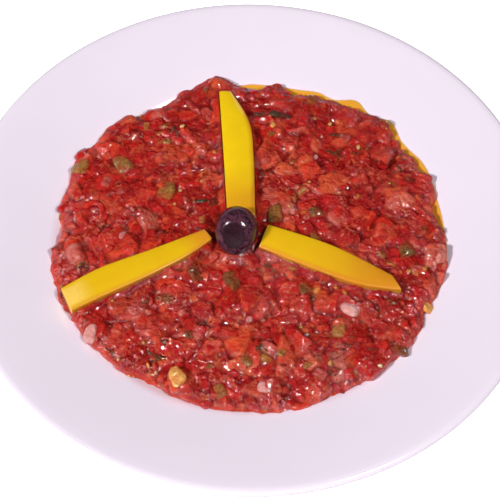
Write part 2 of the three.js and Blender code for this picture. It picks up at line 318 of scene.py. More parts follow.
def skin(rings: list[Array]) -> tuple[Array, Array]:
    """Closed surface over rings of points that go round the same way.

    Args:
        rings: points of each ring, n by 3. The first and last are single points, and neighbours may differ
            in number.

    Returns:
        The points, and triangles that face outwards.
    """
    points = np.concatenate(rings)
    faces = []
    start = 0
    for first, second in zip(rings, rings[1:]):
        m, n = len(first), len(second)
        i = j = 0
        while (m > 1 and i < m) or (n > 1 and j < n):
            inner, outer = start + i % m, start + m + j % n
            if m == 1 or (n > 1 and (j + 1) * m <= (i + 1) * n):
                faces.append((inner, outer, start + m + (j + 1) % n))
                j += 1
            else:
                faces.append((inner, outer, start + (i + 1) % m))
                i += 1
        start += m
    faces = np.array(faces)
    a, b, c = (points[faces[:, k]] for k in range(3))
    volume = np.einsum("ij,ij->", a, np.cross(b, c))
    return points, faces if volume > 0 else faces[:, ::-1]


def around(radius: Any, bearings: Array, z: Any) -> Array:
    """Points on given bearings round Z, at one radius and height or at one for each."""
    heights = np.broadcast_to(z, bearings.shape)
    return np.stack([radius * np.cos(bearings), radius * np.sin(bearings), heights], 1)


def turned(profile: Array, segments: int) -> list[Array]:
    """Rings of a profile of radius and height turned round Z; its ends are on the axis."""
    bearings = np.arange(segments) * TAU / segments
    return [np.array([[0.0, 0.0, z]]) if r < ON_AXIS else around(r, bearings, z) for r, z in profile]


def soften(values: Array, faces: Array, rounds: int) -> Array:
    """Blurs values over a closed mesh.

    Args:
        values: a row of numbers for each point.
        faces: triangles of the mesh.
        rounds: how often each point takes half of its neighbours' mean.

    Returns:
        The blurred values.
    """
    here, there = faces.ravel(), np.roll(faces, -1, axis=1).ravel()
    count = np.maximum(np.bincount(here, minlength=len(values)), 1)
    for _ in range(rounds):
        sums = [np.bincount(here, weights=row[there], minlength=len(values)) for row in values.T]
        values = (values + np.stack(sums, 1) / count[:, None]) / 2
    return values


def make_object(
    name: str, points: Array, faces: Any, material: bpy.types.Material | None = None
) -> bpy.types.Object:
    """A smooth mesh object at the origin.

    Args:
        name: its name.
        points: places in millimetres, n by 3.
        faces: corners of each face.
        material: its material, if it has one yet.

    Returns:
        The object, linked to the scene.
    """
    mesh = bpy.data.meshes.new(name)
    mesh.from_pydata((points * MM).tolist(), [], np.asarray(faces).tolist())
    mesh.shade_smooth()
    if material:
        mesh.materials.append(material)
    made = bpy.data.objects.new(name, mesh)
    bpy.context.scene.collection.objects.link(made)
    return made


def keep_number(made: bpy.types.Object, name: str, values: Array) -> None:
    """Keeps a number on each point of a mesh."""
    kept = made.data.attributes.new(name, "FLOAT", "POINT")
    kept.data.foreach_set("value", np.asarray(values, np.float32))


def keep_colour(made: bpy.types.Object, name: str, colours: Array) -> None:
    """Keeps a linear colour on each point of a mesh."""
    kept = made.data.attributes.new(name, "FLOAT_COLOR", "POINT")
    full = np.concatenate([colours, np.ones((len(colours), 1))], 1)
    kept.data.foreach_set("color", full.astype(np.float32).ravel())


def settle(made: bpy.types.Object, nodes: Iterable[str]) -> None:
    """Rides a finished piece on the plate's body, in place of CAD nodes.

    Args:
        made: the piece.
        nodes: the CAD nodes that it stands for.
    """
    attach(made, ROOT)
    for node in nodes:
        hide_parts(node)
    LOG.info("%s: %d faces", made.name, len(made.data.polygons))


@dataclass(frozen=True)
class PlateForm:
    """Section of the plate from its middle outwards."""

    radius: float = 130.0
    thickness: float = 4.2
    floor_z: float = 7.5
    floor_radius: float = 70.0
    wall_arc: float = 28.0
    wall_angle: float = math.radians(36)
    shoulder_arc: float = 12.0
    rim_angle: float = math.radians(15)
    foot_radius: float = 78.0
    foot_width: float = 4.0
    foot_recess: float = 3.0

    @property
    def wall_end(self) -> float:
        """Radius where the hollow wall turns into the round shoulder."""
        return self.floor_radius + self.wall_arc * math.sin(self.wall_angle)

    @property
    def shoulder_middle(self) -> tuple[float, float]:
        """Radius and height of the middle of the shoulder's arc."""
        r = self.wall_end + self.shoulder_arc * math.sin(self.wall_angle)
        z = self.floor_z + self.wall_arc - (self.wall_arc + self.shoulder_arc) * math.cos(self.wall_angle)
        return r, z

    @property
    def rim_start(self) -> float:
        """Radius where the shoulder turns into the straight rim."""
        return self.shoulder_middle[0] - self.shoulder_arc * math.sin(self.rim_angle)

    def height(self, r: Array) -> Array:
        """Height of the upper surface at each radius."""
        r = np.asarray(r, float)
        mid_r, mid_z = self.shoulder_middle
        wall = self.floor_z + self.wall_arc - np.sqrt(
            np.maximum(self.wall_arc**2 - np.maximum(r - self.floor_radius, 0) ** 2, 0)
        )
        shoulder = mid_z + np.sqrt(np.maximum(self.shoulder_arc**2 - (mid_r - r) ** 2, 0))
        rim = mid_z + self.shoulder_arc * math.cos(self.rim_angle)
        rim = rim + (r - self.rim_start) * math.tan(self.rim_angle)
        return np.where(r <= self.wall_end, wall, np.where(r <= self.rim_start, shoulder, rim))


@dataclass(frozen=True)
class GlazeFinish:
    """White porcelain under a clear glaze, bare where the foot stands."""

    white: Colour = (231, 219, 233)
    foot: Colour = (214, 206, 196)
    roughness: float = 0.16

    def material(self) -> bpy.types.Material:
        """Builds the material."""
        shader = Shader("porcelain_glaze")
        clouds = shader.noise(24, 3)
        warm = tuple(value * 0.985 for value in self.white)
        white = shader.mix(clouds, rgba(self.white), rgba(warm))
        bare = 1 - shader.height().ramp(0.1, 0.5)
        ripple = shader.noise(38, 1) * 0.9 + shader.noise(1.6, 2) * 0.012
        return shader.surface(
            {
                "Base Color": shader.mix(bare, white, rgba(self.foot)),
                "Roughness": self.roughness + 0.06 * shader.noise(12, 2) + 0.5 * bare,
                "Coat Weight": 0.5 - 0.5 * bare,
                "Coat Roughness": 0.04,
                "Specular IOR Level": 0.5,
                "Normal": shader.bump(ripple, 0.35),
            }
        )


@dataclass
class Plate:
    """The plate as one turned piece with a rounded lip and a foot ring."""

    form: PlateForm
    finish: GlazeFinish = field(default_factory=GlazeFinish)
    segments: int = 288
    lip_steps: int = 12

    def profile(self) -> Array:
        """Radius and height from the middle of the underside, round the lip, to the middle of the floor."""
        form = self.form
        half = form.thickness / 2
        lip_r = form.radius - half
        lip_z = float(form.height(lip_r)) - half
        foot_in = form.foot_radius - form.foot_width / 2
        foot_out = form.foot_radius + form.foot_width / 2
        under_r = np.linspace(foot_out + 1.5, lip_r - 1.5, 22)
        under = np.stack([under_r, form.height(under_r) - form.thickness], 1)
        angles = np.radians(np.linspace(-75, 75, self.lip_steps))
        lip = np.stack([lip_r + half * np.cos(angles), lip_z + half * np.sin(angles)], 1)
        upper_r = np.concatenate(
            [
                np.linspace(lip_r - 1.5, form.rim_start, 10),
                np.linspace(form.rim_start, form.wall_end, 9)[1:],
                np.linspace(form.wall_end, form.floor_radius, 16)[1:],
                np.linspace(form.floor_radius, 2, 14)[1:],
            ]
        )
        upper = np.stack([upper_r, form.height(upper_r)], 1)
        foot = [
            (0, form.foot_recess),
            (foot_in - 9, form.foot_recess),
            (foot_in - 1.6, form.foot_recess - 0.1),
            (foot_in - 0.9, form.foot_recess - 0.9),
            (foot_in, 0.5),
            (foot_in + 0.5, 0),
            (foot_out - 0.5, 0),
            (foot_out, 0.5),
            (foot_out + 0.8, 3.6),
            (foot_out + 1.1, 4.8),
        ]
        return np.concatenate([foot, under, lip, upper, [(0, form.floor_z)]])

    def build(self) -> None:
        """Makes the plate and dresses it."""
        points, faces = skin(turned(self.profile(), self.segments))
        made = make_object("plate_porcelain", points, faces, self.finish.material())
        settle(made, ["plate"])


@dataclass(frozen=True)
class HeapForm:
    """Outline and smooth form of the heap of ezme."""

    radius: float = 87.6
    crown_z: float = 21.4
    brow_z: float = 18.0
    brow_share: float = 0.94
    side_width: float = 8.0
    # Bearing in degrees from +X, reach and half width in degrees of each lobe or bay of the outline.
    lobes: tuple[tuple[float, float, float], ...] = (
        (10, -4.2, 5), (27, -1.6, 4), (37, -3.6, 4), (47.5, 2.6, 4), (58, -0.6, 4), (67, -2.6, 3),
        (77, -3.4, 5), (91, -3.4, 5), (102, 4.4, 5), (122, -3.2, 8), (138, 2.4, 5), (155, 1.8, 6),
        (180, -3.8, 7), (196, 2.6, 9), (207, 0.8, 4), (240, -2.6, 8), (283, 1.2, 8),
        (295, -1.4, 4), (320, 1.2, 5), (336, -1.4, 5),
    )

    def outline(self, bearing: Array) -> Array:
        """Radius of the heap's edge at each bearing."""
        degrees = np.degrees(bearing)
        radius = np.full_like(degrees, self.radius)
        for at, reach, width in self.lobes:
            off = (degrees - at + 180) % 360 - 180
            radius = radius + reach * np.exp(-((off / width) ** 2))
        x, y = self.radius * np.cos(bearing), self.radius * np.sin(bearing)
        return radius + 0.8 * lattice_noise(x, y, 6.4, 41) + 0.25 * lattice_noise(x, y, 2.6, 42)

    def dome(self, share: Array) -> Array:
        """Height of the smooth top at shares of the outline's radius."""
        return self.crown_z - (self.crown_z - self.brow_z) * (share / self.brow_share) ** 2

    def share(self, x: Array, y: Array) -> Array:
        """Distance of each place from the middle as a share of the outline's radius there."""
        return np.hypot(x, y) / self.outline(np.arctan2(y, x))

    def top(self, x: Array, y: Array) -> Array:
        """Height of the smooth top over each place."""
        return self.dome(self.share(x, y))


def curve_through(points: Iterable[tuple[float, float]], count: int) -> Array:
    """Points at equal lengths along a smooth curve through given ones.

    Args:
        points: places that it passes.
        count: how many points to return.

    Returns:
        The places, count by 2.
    """
    given = np.array(points, float)
    padded = np.concatenate([given[:1], given, given[-1:]])
    t = np.linspace(0, 1, 60)[:, None]
    spans = []
    for p0, p1, p2, p3 in zip(padded, padded[1:], padded[2:], padded[3:]):
        v0, v1 = (p2 - p0) / 2, (p3 - p1) / 2
        spans.append(
            (2 * p1 - 2 * p2 + v0 + v1) * t**3 + (-3 * p1 + 3 * p2 - 2 * v0 - v1) * t**2 + v0 * t + p1
        )
    dense = np.concatenate(spans)
    lengths = np.concatenate([[0], np.cumsum(np.hypot(*np.diff(dense, axis=0).T))])
    wanted = np.linspace(0, lengths[-1], count)
    return np.stack([np.interp(wanted, lengths, dense[:, k]) for k in range(2)], 1)


def polygon_distance(corners: Array, x: Array, y: Array) -> Array:
    """Distance in plan from each place to an outline, negative inside it.

    Args:
        corners: the outline's corners, n by 2.
        x: places along X.
        y: places along Y.

    Returns:
        The distances.
    """
    nearest = np.full(np.shape(x), np.inf)
    inside = np.zeros(np.shape(x), bool)
    for (ax, ay), (bx, by) in zip(corners, np.roll(corners, -1, axis=0)):
        along = ((x - ax) * (bx - ax) + (y - ay) * (by - ay)) / ((bx - ax) ** 2 + (by - ay) ** 2)
        s = np.clip(along, 0, 1)
        nearest = np.minimum(nearest, np.hypot(x - ax - s * (bx - ax), y - ay - s * (by - ay)))
        if by != ay:
            crosses = ((ay > y) != (by > y)) & (x < ax + (y - ay) * (bx - ax) / (by - ay))
            inside ^= crosses
    return np.where(inside, -nearest, nearest)


@dataclass(frozen=True)
class StripForm:
    """A strip of pepper: its two long edges in plan, from the olive outwards, and its colours.

    The skin is orange all over by one strength, and deeper orange near the olive up to a share of the length,
    and from a share of the length to the tip; that deeper orange is painted shade. A painted sheen shows as
    pale flesh colour at the tip, and pale flesh shows along one edge there.
    """

    name: str
    left: tuple[tuple[float, float], ...]
    right: tuple[tuple[float, float], ...]
    skin: Colour
    orange: float = 0.0
    # Painted shade: deeper orange near the olive and towards the tip.
    orange_shade_near: tuple[float, float] = (0.0, 1.0)
    orange_shade_far: tuple[float, float] = (0.0, 0.5)
    # Painted sheen: pale flesh colour at the tip.
    painted_sheen_tip: float = 0.0
    pale_edge: float = 0.0
    thickness: float = 4.0
    crown: float = 0.5

    def outline(self) -> Array:
        """Corners of its plan."""
        return np.concatenate([curve_through(self.left, 12), curve_through(self.right, 12)[::-1]])


# The deeper orange near the olive and at the tips of these strips is painted shade.
STRIPS = (
    StripForm(
        "pepper_strip_back",
        left=((-10.6, 4.9), (-13, 37.3), (-16.1, 76.2)),
        right=((2, 4.9), (0.8, 37.6), (-1.6, 57.8), (-10.4, 76.4)),
        skin=(234, 195, 14),
        orange_shade_near=(0.75, 0.42),
        orange_shade_far=(0.1, 0.8),
        pale_edge=0.8,
    ),
    StripForm(
        "pepper_strip_left",
        left=((-20.8, -3.5), (-43.6, -14.1), (-65.4, -23.1), (-81.8, -33.3)),
        right=((-16.8, -8.3), (-28, -17.6), (-43.4, -27), (-64.4, -37.9), (-76.4, -44.5)),
        skin=(216, 174, 12),
        orange_shade_near=(0.95, 0.24),
        # Painted sheen: pale flesh colour at the outer tip.
        painted_sheen_tip=0.7,
    ),
    StripForm(
        "pepper_strip_right",
        left=((7.8, -0.4), (35.3, -9.8), (62, -24.1)),
        right=((3.9, -12.2), (35.1, -25.4), (50.3, -30), (66, -31.3)),
        skin=(222, 179, 13),
        orange=0.12,
        orange_shade_far=(0.9, 0.3),
    ),
)


@dataclass(frozen=True)
class OliveForm:
    """The olive's size and how it lies."""

    radius: float = 10.0
    half_length: float = 9.6
    squeeze: float = 0.93
    swell: float = 1.08
    middle: tuple[float, float, float] = (-6.2, -5.4, 28.0)
    axis: tuple[float, float, float] = (-0.12, -0.76, 0.64)
    bluntness: float = 0.9
    dish_depth: float = 1.2


@dataclass(frozen=True)
class Toppings:
    """What lies on the ezme, and how near to it a place is."""

    strips: tuple[StripForm, ...] = STRIPS
    olive: OliveForm = field(default_factory=OliveForm)

    def distance(self, x: Array, y: Array) -> Array:
        """Distance in plan to the nearest topping, negative under it. The olive counts where it touches."""
        seat = self.olive.radius * 0.72
        near = np.hypot(x - self.olive.middle[0], y - self.olive.middle[1]) - seat
        for strip in self.strips:
            near = np.minimum(near, polygon_distance(strip.outline(), x, y))
        return near

    def seat(self, x: Array, y: Array) -> Array:
        """Height just under the olive over each place, and infinity beside it."""
        reach = self.olive.radius + 0.15
        off = np.hypot(x - self.olive.middle[0], y - self.olive.middle[1])
        under = self.olive.middle[2] - np.sqrt(np.maximum(reach**2 - off**2, 0))
        return np.where(off < reach, under, np.inf)


class Kind(Enum):
    """What a chopped piece is cut from."""

    TOMATO = "tomato"
    RED_PEPPER = "red_pepper"
    GREEN_PEPPER = "green_pepper"
    ONION = "onion"
    PALE_ONION = "pale_onion"
    YELLOW_PEPPER = "yellow_pepper"
    HERB = "herb"
    SEED = "seed"


@dataclass(frozen=True, kw_only=True)
class WetFinish:
    """What wet flesh shares: light enters it, under a thin glossy film."""

    subsurface: float = 0.9
    depth: float = 3.0
    scatter: Colour = (1.0, 0.25, 0.14)
    roughness: float = 0.03
    gloss: float = 0.78

    def finished(
        self, shader: Shader, base: bpy.types.NodeSocket, relief: Wire, dry: Wire | None = None
    ) -> bpy.types.Material:
        """Ends a shader as wet flesh.

        Args:
            shader: the shader.
            base: its colour.
            relief: its relief in millimetres.
            dry: how much rougher it is than a wet film, where that changes.

        Returns:
            The material.
        """
        rough = self.roughness + 0.03 * shader.noise(2.0, 2)
        return shader.surface(
            {
                "Base Color": base,
                "Roughness": rough if dry is None else rough + dry,
                "IOR": 1.45,
                "Specular IOR Level": self.gloss,
                "Subsurface Weight": self.subsurface,
                "Subsurface Radius": self.scatter,
                "Subsurface Scale": self.depth * MM,
                "Normal": shader.bump(relief, 1.0),
            }
        )


@dataclass(frozen=True)
class FleshFinish(WetFinish):
    """Wet flesh of one kind of chopped piece."""

    kind: Kind
    shades: tuple[Colour, ...]
    soaked: Colour = (168, 22, 18)
    soak: float = 0.9
    speckle: float = 0.5
    grain: float = 0.9
    relief: float = 0.6

    def material(self) -> bpy.types.Material:
        """Builds the material. It reads tone, one number for each piece, and soak, 1 where sauce is."""
        shader = Shader(f"{self.kind.value}_flesh")
        tone = shader.attribute("tone") + (shader.noise(3.2, 3, 0.8) - 0.5) * 1.1
        own = shader.shades(tone, self.shades)
        fine = shader.noise(self.grain, 3, 0.4)
        darker = shader.darkened(own, (0.62, 0.5, 0.5))
        own = shader.mix(fine.ramp(0.62, 0.3) * self.speckle, own, darker)
        wet = shader.attribute("soak") * (0.5 + 0.5 * shader.noise(3.2, 2).ramp(0.35, 0.7)) * self.soak
        base = shader.mix(wet, own, rgba(self.soaked))
        base = shader.mix(shader.sheet() * self.soak * 0.55, base, rgba(self.soaked))
        base = shader.grained(base, 1.5, self.speckle * 0.7)
        patches = shader.noise(3.6, 2).ramp(0.42, 0.62)
        relief = shader.wet_relief(0.15 + 0.6 * patches, self.relief * (0.6 + patches))
        return self.finished(shader, base, relief)


FLESH = {
    finish.kind: finish
    for finish in (
        FleshFinish(
            Kind.TOMATO,
            shades=((144, 14, 13), (160, 19, 16), (178, 26, 20), (194, 40, 27), (192, 72, 56), (208, 84, 42)),
        ),
        FleshFinish(
            Kind.RED_PEPPER, shades=((176, 22, 18), (190, 30, 21), (204, 44, 26), (210, 66, 34)),
            speckle=0.25,
        ),
        FleshFinish(
            Kind.GREEN_PEPPER, shades=((92, 66, 30), (116, 84, 38), (142, 102, 48), (160, 126, 56)),
            soak=0.6, scatter=(0.9, 0.6, 0.2), speckle=0.8,
        ),
        FleshFinish(
            Kind.ONION, shades=((172, 52, 42), (182, 74, 62), (194, 110, 96), (184, 68, 44)), soak=0.75,
            subsurface=0.8, depth=2.4, scatter=(1.0, 0.55, 0.45), speckle=0.3,
        ),
        FleshFinish(
            Kind.PALE_ONION, shades=((204, 128, 118), (216, 158, 148), (222, 176, 168)), soak=0.55,
            subsurface=0.8, depth=2.4, scatter=(1.0, 0.55, 0.45), speckle=0.3,
        ),
        FleshFinish(
            Kind.YELLOW_PEPPER, shades=((206, 116, 44), (232, 178, 92), (222, 142, 62)), soak=0.4,
            subsurface=0.5, speckle=0.25,
        ),
        FleshFinish(
            Kind.HERB, shades=((30, 30, 16), (44, 44, 22), (66, 60, 32), (70, 42, 24)), soak=0.45,
            speckle=0.3, subsurface=0.1, scatter=(0.5, 0.7, 0.2), relief=0.4, gloss=0.3,
        ),
        FleshFinish(
            Kind.SEED, shades=((206, 138, 60), (224, 176, 90), (228, 190, 120)), soak=0.5,
            subsurface=0.4, scatter=(1.0, 0.7, 0.4), speckle=0.15, relief=0.2,
        ),
    )
}


@dataclass(frozen=True)
class PulpFinish(WetFinish):
    """Wet pulp: chopped flesh that shows through a film of dark red sauce."""

    deep: Colour = (146, 14, 12)
    bright: Colour = (190, 28, 22)
    # Orange of a painted glow at the heap's foot, standing in for light coming back from the plate.
    thin: Colour = (208, 66, 30)
    orange: Colour = (212, 92, 48)
    scatter: Colour = (1.0, 0.22, 0.12)
    roughness: float = 0.02
    gloss: float = 0.9

    def material(self) -> bpy.types.Material:
        """Builds the material. It reads five numbers kept on the mesh, and the colour flesh.

        The numbers are bare, 0 where sauce covers the flesh; smooth, 1 on large cut faces; the painted gap
        shade, 1 in the gaps between pieces, round the olive and beside the strips, where the colour is
        darkened as shade; the painted foot glow, 1 at the heap's foot, where the colour turns orange as a
        painted glow of light coming back from the plate; and far, 1 down the far side, which is less wet.
        """
        shader = Shader("tomato_pulp")
        sauce = shader.mix(shader.noise(7, 3, 0.6).ramp(0.35, 0.68), rgba(self.deep), rgba(self.bright))
        fine = shader.noise(0.9, 3, 0.5)
        smooth = shader.attribute("smooth")
        flesh = shader.paint("flesh")
        darker = shader.darkened(flesh, (0.7, 0.45, 0.45))
        flesh = shader.mix(fine.ramp(0.54, 0.36) * (0.7 - 0.4 * smooth), flesh, darker)
        paler = shader.mix(0.2, flesh, (0.8, 0.26, 0.12, 1))
        flesh = shader.mix(shader.noise(1.3, 2).ramp(0.56, 0.7) * 0.8, flesh, paler)
        flesh = shader.mix(shader.noise(2.8, 3, 0.5).ramp(0.54, 0.7) * 0.65, flesh, rgba(self.orange))
        flesh = shader.mix(shader.noise(1.4, 2).ramp(0.6, 0.7) * 0.6, flesh, rgba(self.orange))
        base = shader.mix(shader.attribute("bare") * (1 - shader.sheet() * 0.55), sauce, flesh)
        base = shader.grained(base, 1.4, 0.8 - 0.45 * smooth)
        # Painted shade: the colour is darkened in the gaps between pieces, round the olive and beside the
        # strips.
        low = shader.darkened(base, (0.46, 0.22, 0.24))
        base = shader.mix(shader.attribute("hollow") * 0.78, base, low)
        beady = (1 - smooth * 0.45) * shader.noise(5, 2).ramp(0.4, 0.58)
        relief = shader.wet_relief(beady, 0.45 + 0.9 * beady)
        # Painted glow: the foot turns orange, as if lit by light coming back from the plate.
        base = shader.mix(shader.attribute("thin") * 0.7, base, rgba(self.thin))
        return self.finished(shader, base, relief, 0.6 * shader.attribute("far"))


@dataclass(frozen=True)
class ChunkSort:
    """One sort of chopped piece that lies level with the sauce."""

    count: int
    halves: tuple[float, float]
    height: float
    unevenness: float
    rounding: float
    tilt: float
    smooth: float
    shares: tuple[tuple[Kind, float], ...]


SLABS = ChunkSort(
    count=520, halves=(2.8, 7.4), height=0.45, unevenness=0.85, rounding=0.8, tilt=0.25, smooth=1.0,
    shares=((Kind.TOMATO, 0.78), (Kind.RED_PEPPER, 0.1), (Kind.ONION, 0.09), (Kind.GREEN_PEPPER, 0.03)),
)
CRUMBS = ChunkSort(
    count=2700, halves=(1.0, 2.7), height=-0.4, unevenness=0.6, rounding=0.55, tilt=0.36, smooth=0.0,
    shares=(
        (Kind.TOMATO, 0.82),
        (Kind.RED_PEPPER, 0.06),
        (Kind.ONION, 0.06),
        (Kind.GREEN_PEPPER, 0.04),
        (Kind.YELLOW_PEPPER, 0.02),
    ),
)


@dataclass(frozen=True)
class Chunk:
    """One chopped piece that lies level with the sauce, many-sided in plan."""

    x: float
    y: float
    half: float
    stretch: float
    turn: float
    normals: Array
    reaches: Array
    height: float
    tilt: Array
    rounding: float
    near: Array
    far: Array

    SHARPNESS = 7  # of its corners in plan
    REACH = 1.8  # how far it can lie, as a share of half its size
    EDGE = (-0.4, 1.0)  # where its side goes down, beyond its outline
    LIMIT = 1.1  # where it ends, beyond its outline
    NOWHERE = -9.0

    @property
    def span(self) -> float:
        """How far along X or Y from its middle it can lie."""
        return self.half * self.REACH

    def along(self, u: Array, v: Array) -> Array:
        """Distance of places, from its middle, in the direction in which it is turned."""
        return u * math.cos(self.turn) + v * math.sin(self.turn)

    def top(self, u: Array, v: Array, edge_drop: float) -> Array:
        """Height of its top over places.

        Args:
            u: places along X from its middle.
            v: places along Y from its middle.
            edge_drop: how deep its edge goes down.

        Returns:
            The heights, NOWHERE beside it.
        """
        shift = self.along(u, v) * (1 / self.stretch - 1)
        su, sv = u + shift * math.cos(self.turn), v + shift * math.sin(self.turn)
        sides = zip(self.normals, self.reaches)
        cuts = [np.maximum(su * math.cos(a) + sv * math.sin(a), 0) / reach for a, reach in sides]
        off = np.sum([cut**self.SHARPNESS for cut in cuts], axis=0) ** (1 / self.SHARPNESS)
        body = self.height + self.tilt[0] * u + self.tilt[1] * v - self.rounding * off**2
        beyond = (off - 1) * self.reaches.mean()
        return np.where(beyond < self.LIMIT, body - edge_drop * smoothstep(*self.EDGE, beyond), self.NOWHERE)

    def colours(self, u: Array, v: Array) -> Array:
        """Colour over places, from that of its near end to that of its far end."""
        share = smoothstep(-0.8, 0.8, self.along(u, v) / self.half)[:, None]
        return self.near + (self.far - self.near) * share


@dataclass
class ChunkField:
    """The chopped pieces that lie level with the sauce, as relief and colour over the heap."""

    sorts: tuple[ChunkSort, ...] = (CRUMBS, SLABS)
    reach: float = 97.0
    edge_drop: float = 2.3
    seed: int = 21

    def _colour(self, kind: Kind, tone: float) -> Array:
        """Linear colour of a kind's flesh at a tone from 0 to 1."""
        row = np.array([linear(c) for c in FLESH[kind].shades])
        places = np.linspace(0, 1, len(row))
        return np.array([np.interp(tone, places, row[:, k]) for k in range(3)])

    def _warped(self, x: Array, y: Array) -> tuple[Array, Array]:
        """Places shifted by a wide and a close noise, which makes cut edges uneven."""
        return tuple(
            c + 0.8 * lattice_noise(x, y, 6.5, seed) + 0.5 * lattice_noise(x, y, 2.4, seed + 1)
            for c, seed in ((x, 11), (y, 13))
        )

    def _drawn(self, rng: np.random.Generator, sort: ChunkSort) -> Chunk:
        """Draws one piece of a sort."""
        bearing, radius = rng.uniform(0, TAU), self.reach * math.sqrt(rng.uniform(0, 1))
        half = sort.halves[0] + (sort.halves[1] - sort.halves[0]) * rng.beta(1.5, 2.4)
        stretch, turn = rng.uniform(1.0, 1.45), rng.uniform(0, TAU)
        sides = int(rng.integers(4, 7))
        normals = turn + (np.arange(sides) + rng.uniform(-0.22, 0.22, sides)) * TAU / sides
        reaches = half * rng.uniform(0.72, 1.0, sides)
        height = sort.height + rng.normal(0, sort.unevenness)
        tilt = rng.normal(0, sort.tilt, 2)
        kinds, weights = zip(*sort.shares)
        kind, tone = rng.choice(kinds, p=weights), rng.uniform(0, 1)
        other = min(max(tone + rng.normal(0, 0.35), 0), 1)
        x, y = radius * math.cos(bearing), radius * math.sin(bearing)
        ends = self._colour(kind, tone), self._colour(kind, other)
        return Chunk(x, y, half, stretch, turn, normals, reaches, height, tilt, sort.rounding, *ends)

    def lay(self, x: Array, y: Array) -> tuple[Array, Array, Array]:
        """Lays the pieces over places of the heap.

        Args:
            x: places along X, with the heap's side rolled out flat.
            y: places along Y.

        Returns:
            The height of the highest piece over each place, its colour, and how smooth it is.
        """
        rng = np.random.default_rng(self.seed)
        x, y = self._warped(x, y)
        order = np.argsort(x)
        xs, ys = x[order], y[order]
        top = np.full(len(x), Chunk.NOWHERE)
        colours = np.tile(self._colour(Kind.TOMATO, 0.2), (len(x), 1))
        smooth = np.zeros(len(x))
        for sort in self.sorts:
            for _ in range(sort.count):
                chunk = self._drawn(rng, sort)
                low, high = np.searchsorted(xs, [chunk.x - chunk.span, chunk.x + chunk.span])
                u, v = xs[low:high] - chunk.x, ys[low:high] - chunk.y
                within = np.nonzero(np.abs(v) < chunk.span)[0]
                u, v, at = u[within], v[within], order[low:high][within]
                body = chunk.top(u, v, self.edge_drop)
                higher = body > top[at]
                at = at[higher]
                top[at] = body[higher]
                colours[at] = chunk.colours(u, v)[higher]
                smooth[at] = sort.smooth
        return top, colours, smooth


@dataclass(frozen=True)
class Spot:
    """A piece in plan: its place, its largest size, and its heading in radians where that is known."""

    x: float
    y: float
    size: float
    turn: float | None = None


class SpotMap:
    """Places already taken, looked up by square of the plan."""

    def __init__(self, square: float = 10.0) -> None:
        """Starts with no place taken."""
        self.square = square
        self.squares: dict[tuple[int, int], list[Spot]] = {}

    def _key(self, x: float, y: float) -> tuple[int, int]:
        """The square that holds a place."""
        return int(x // self.square), int(y // self.square)

    def add(self, spot: Spot) -> None:
        """Takes a place."""
        self.squares.setdefault(self._key(spot.x, spot.y), []).append(spot)

    def room(self, spot: Spot, closeness: float) -> bool:
        """Whether a spot keeps closeness times the mean of the two sizes from all others."""
        kx, ky = self._key(spot.x, spot.y)
        near = (self.squares.get((kx + i, ky + j), []) for i in (-1, 0, 1) for j in (-1, 0, 1))
        return all(
            math.hypot(o.x - spot.x, o.y - spot.y) > closeness * (o.size + spot.size) / 2
            for square in near
            for o in square
        )


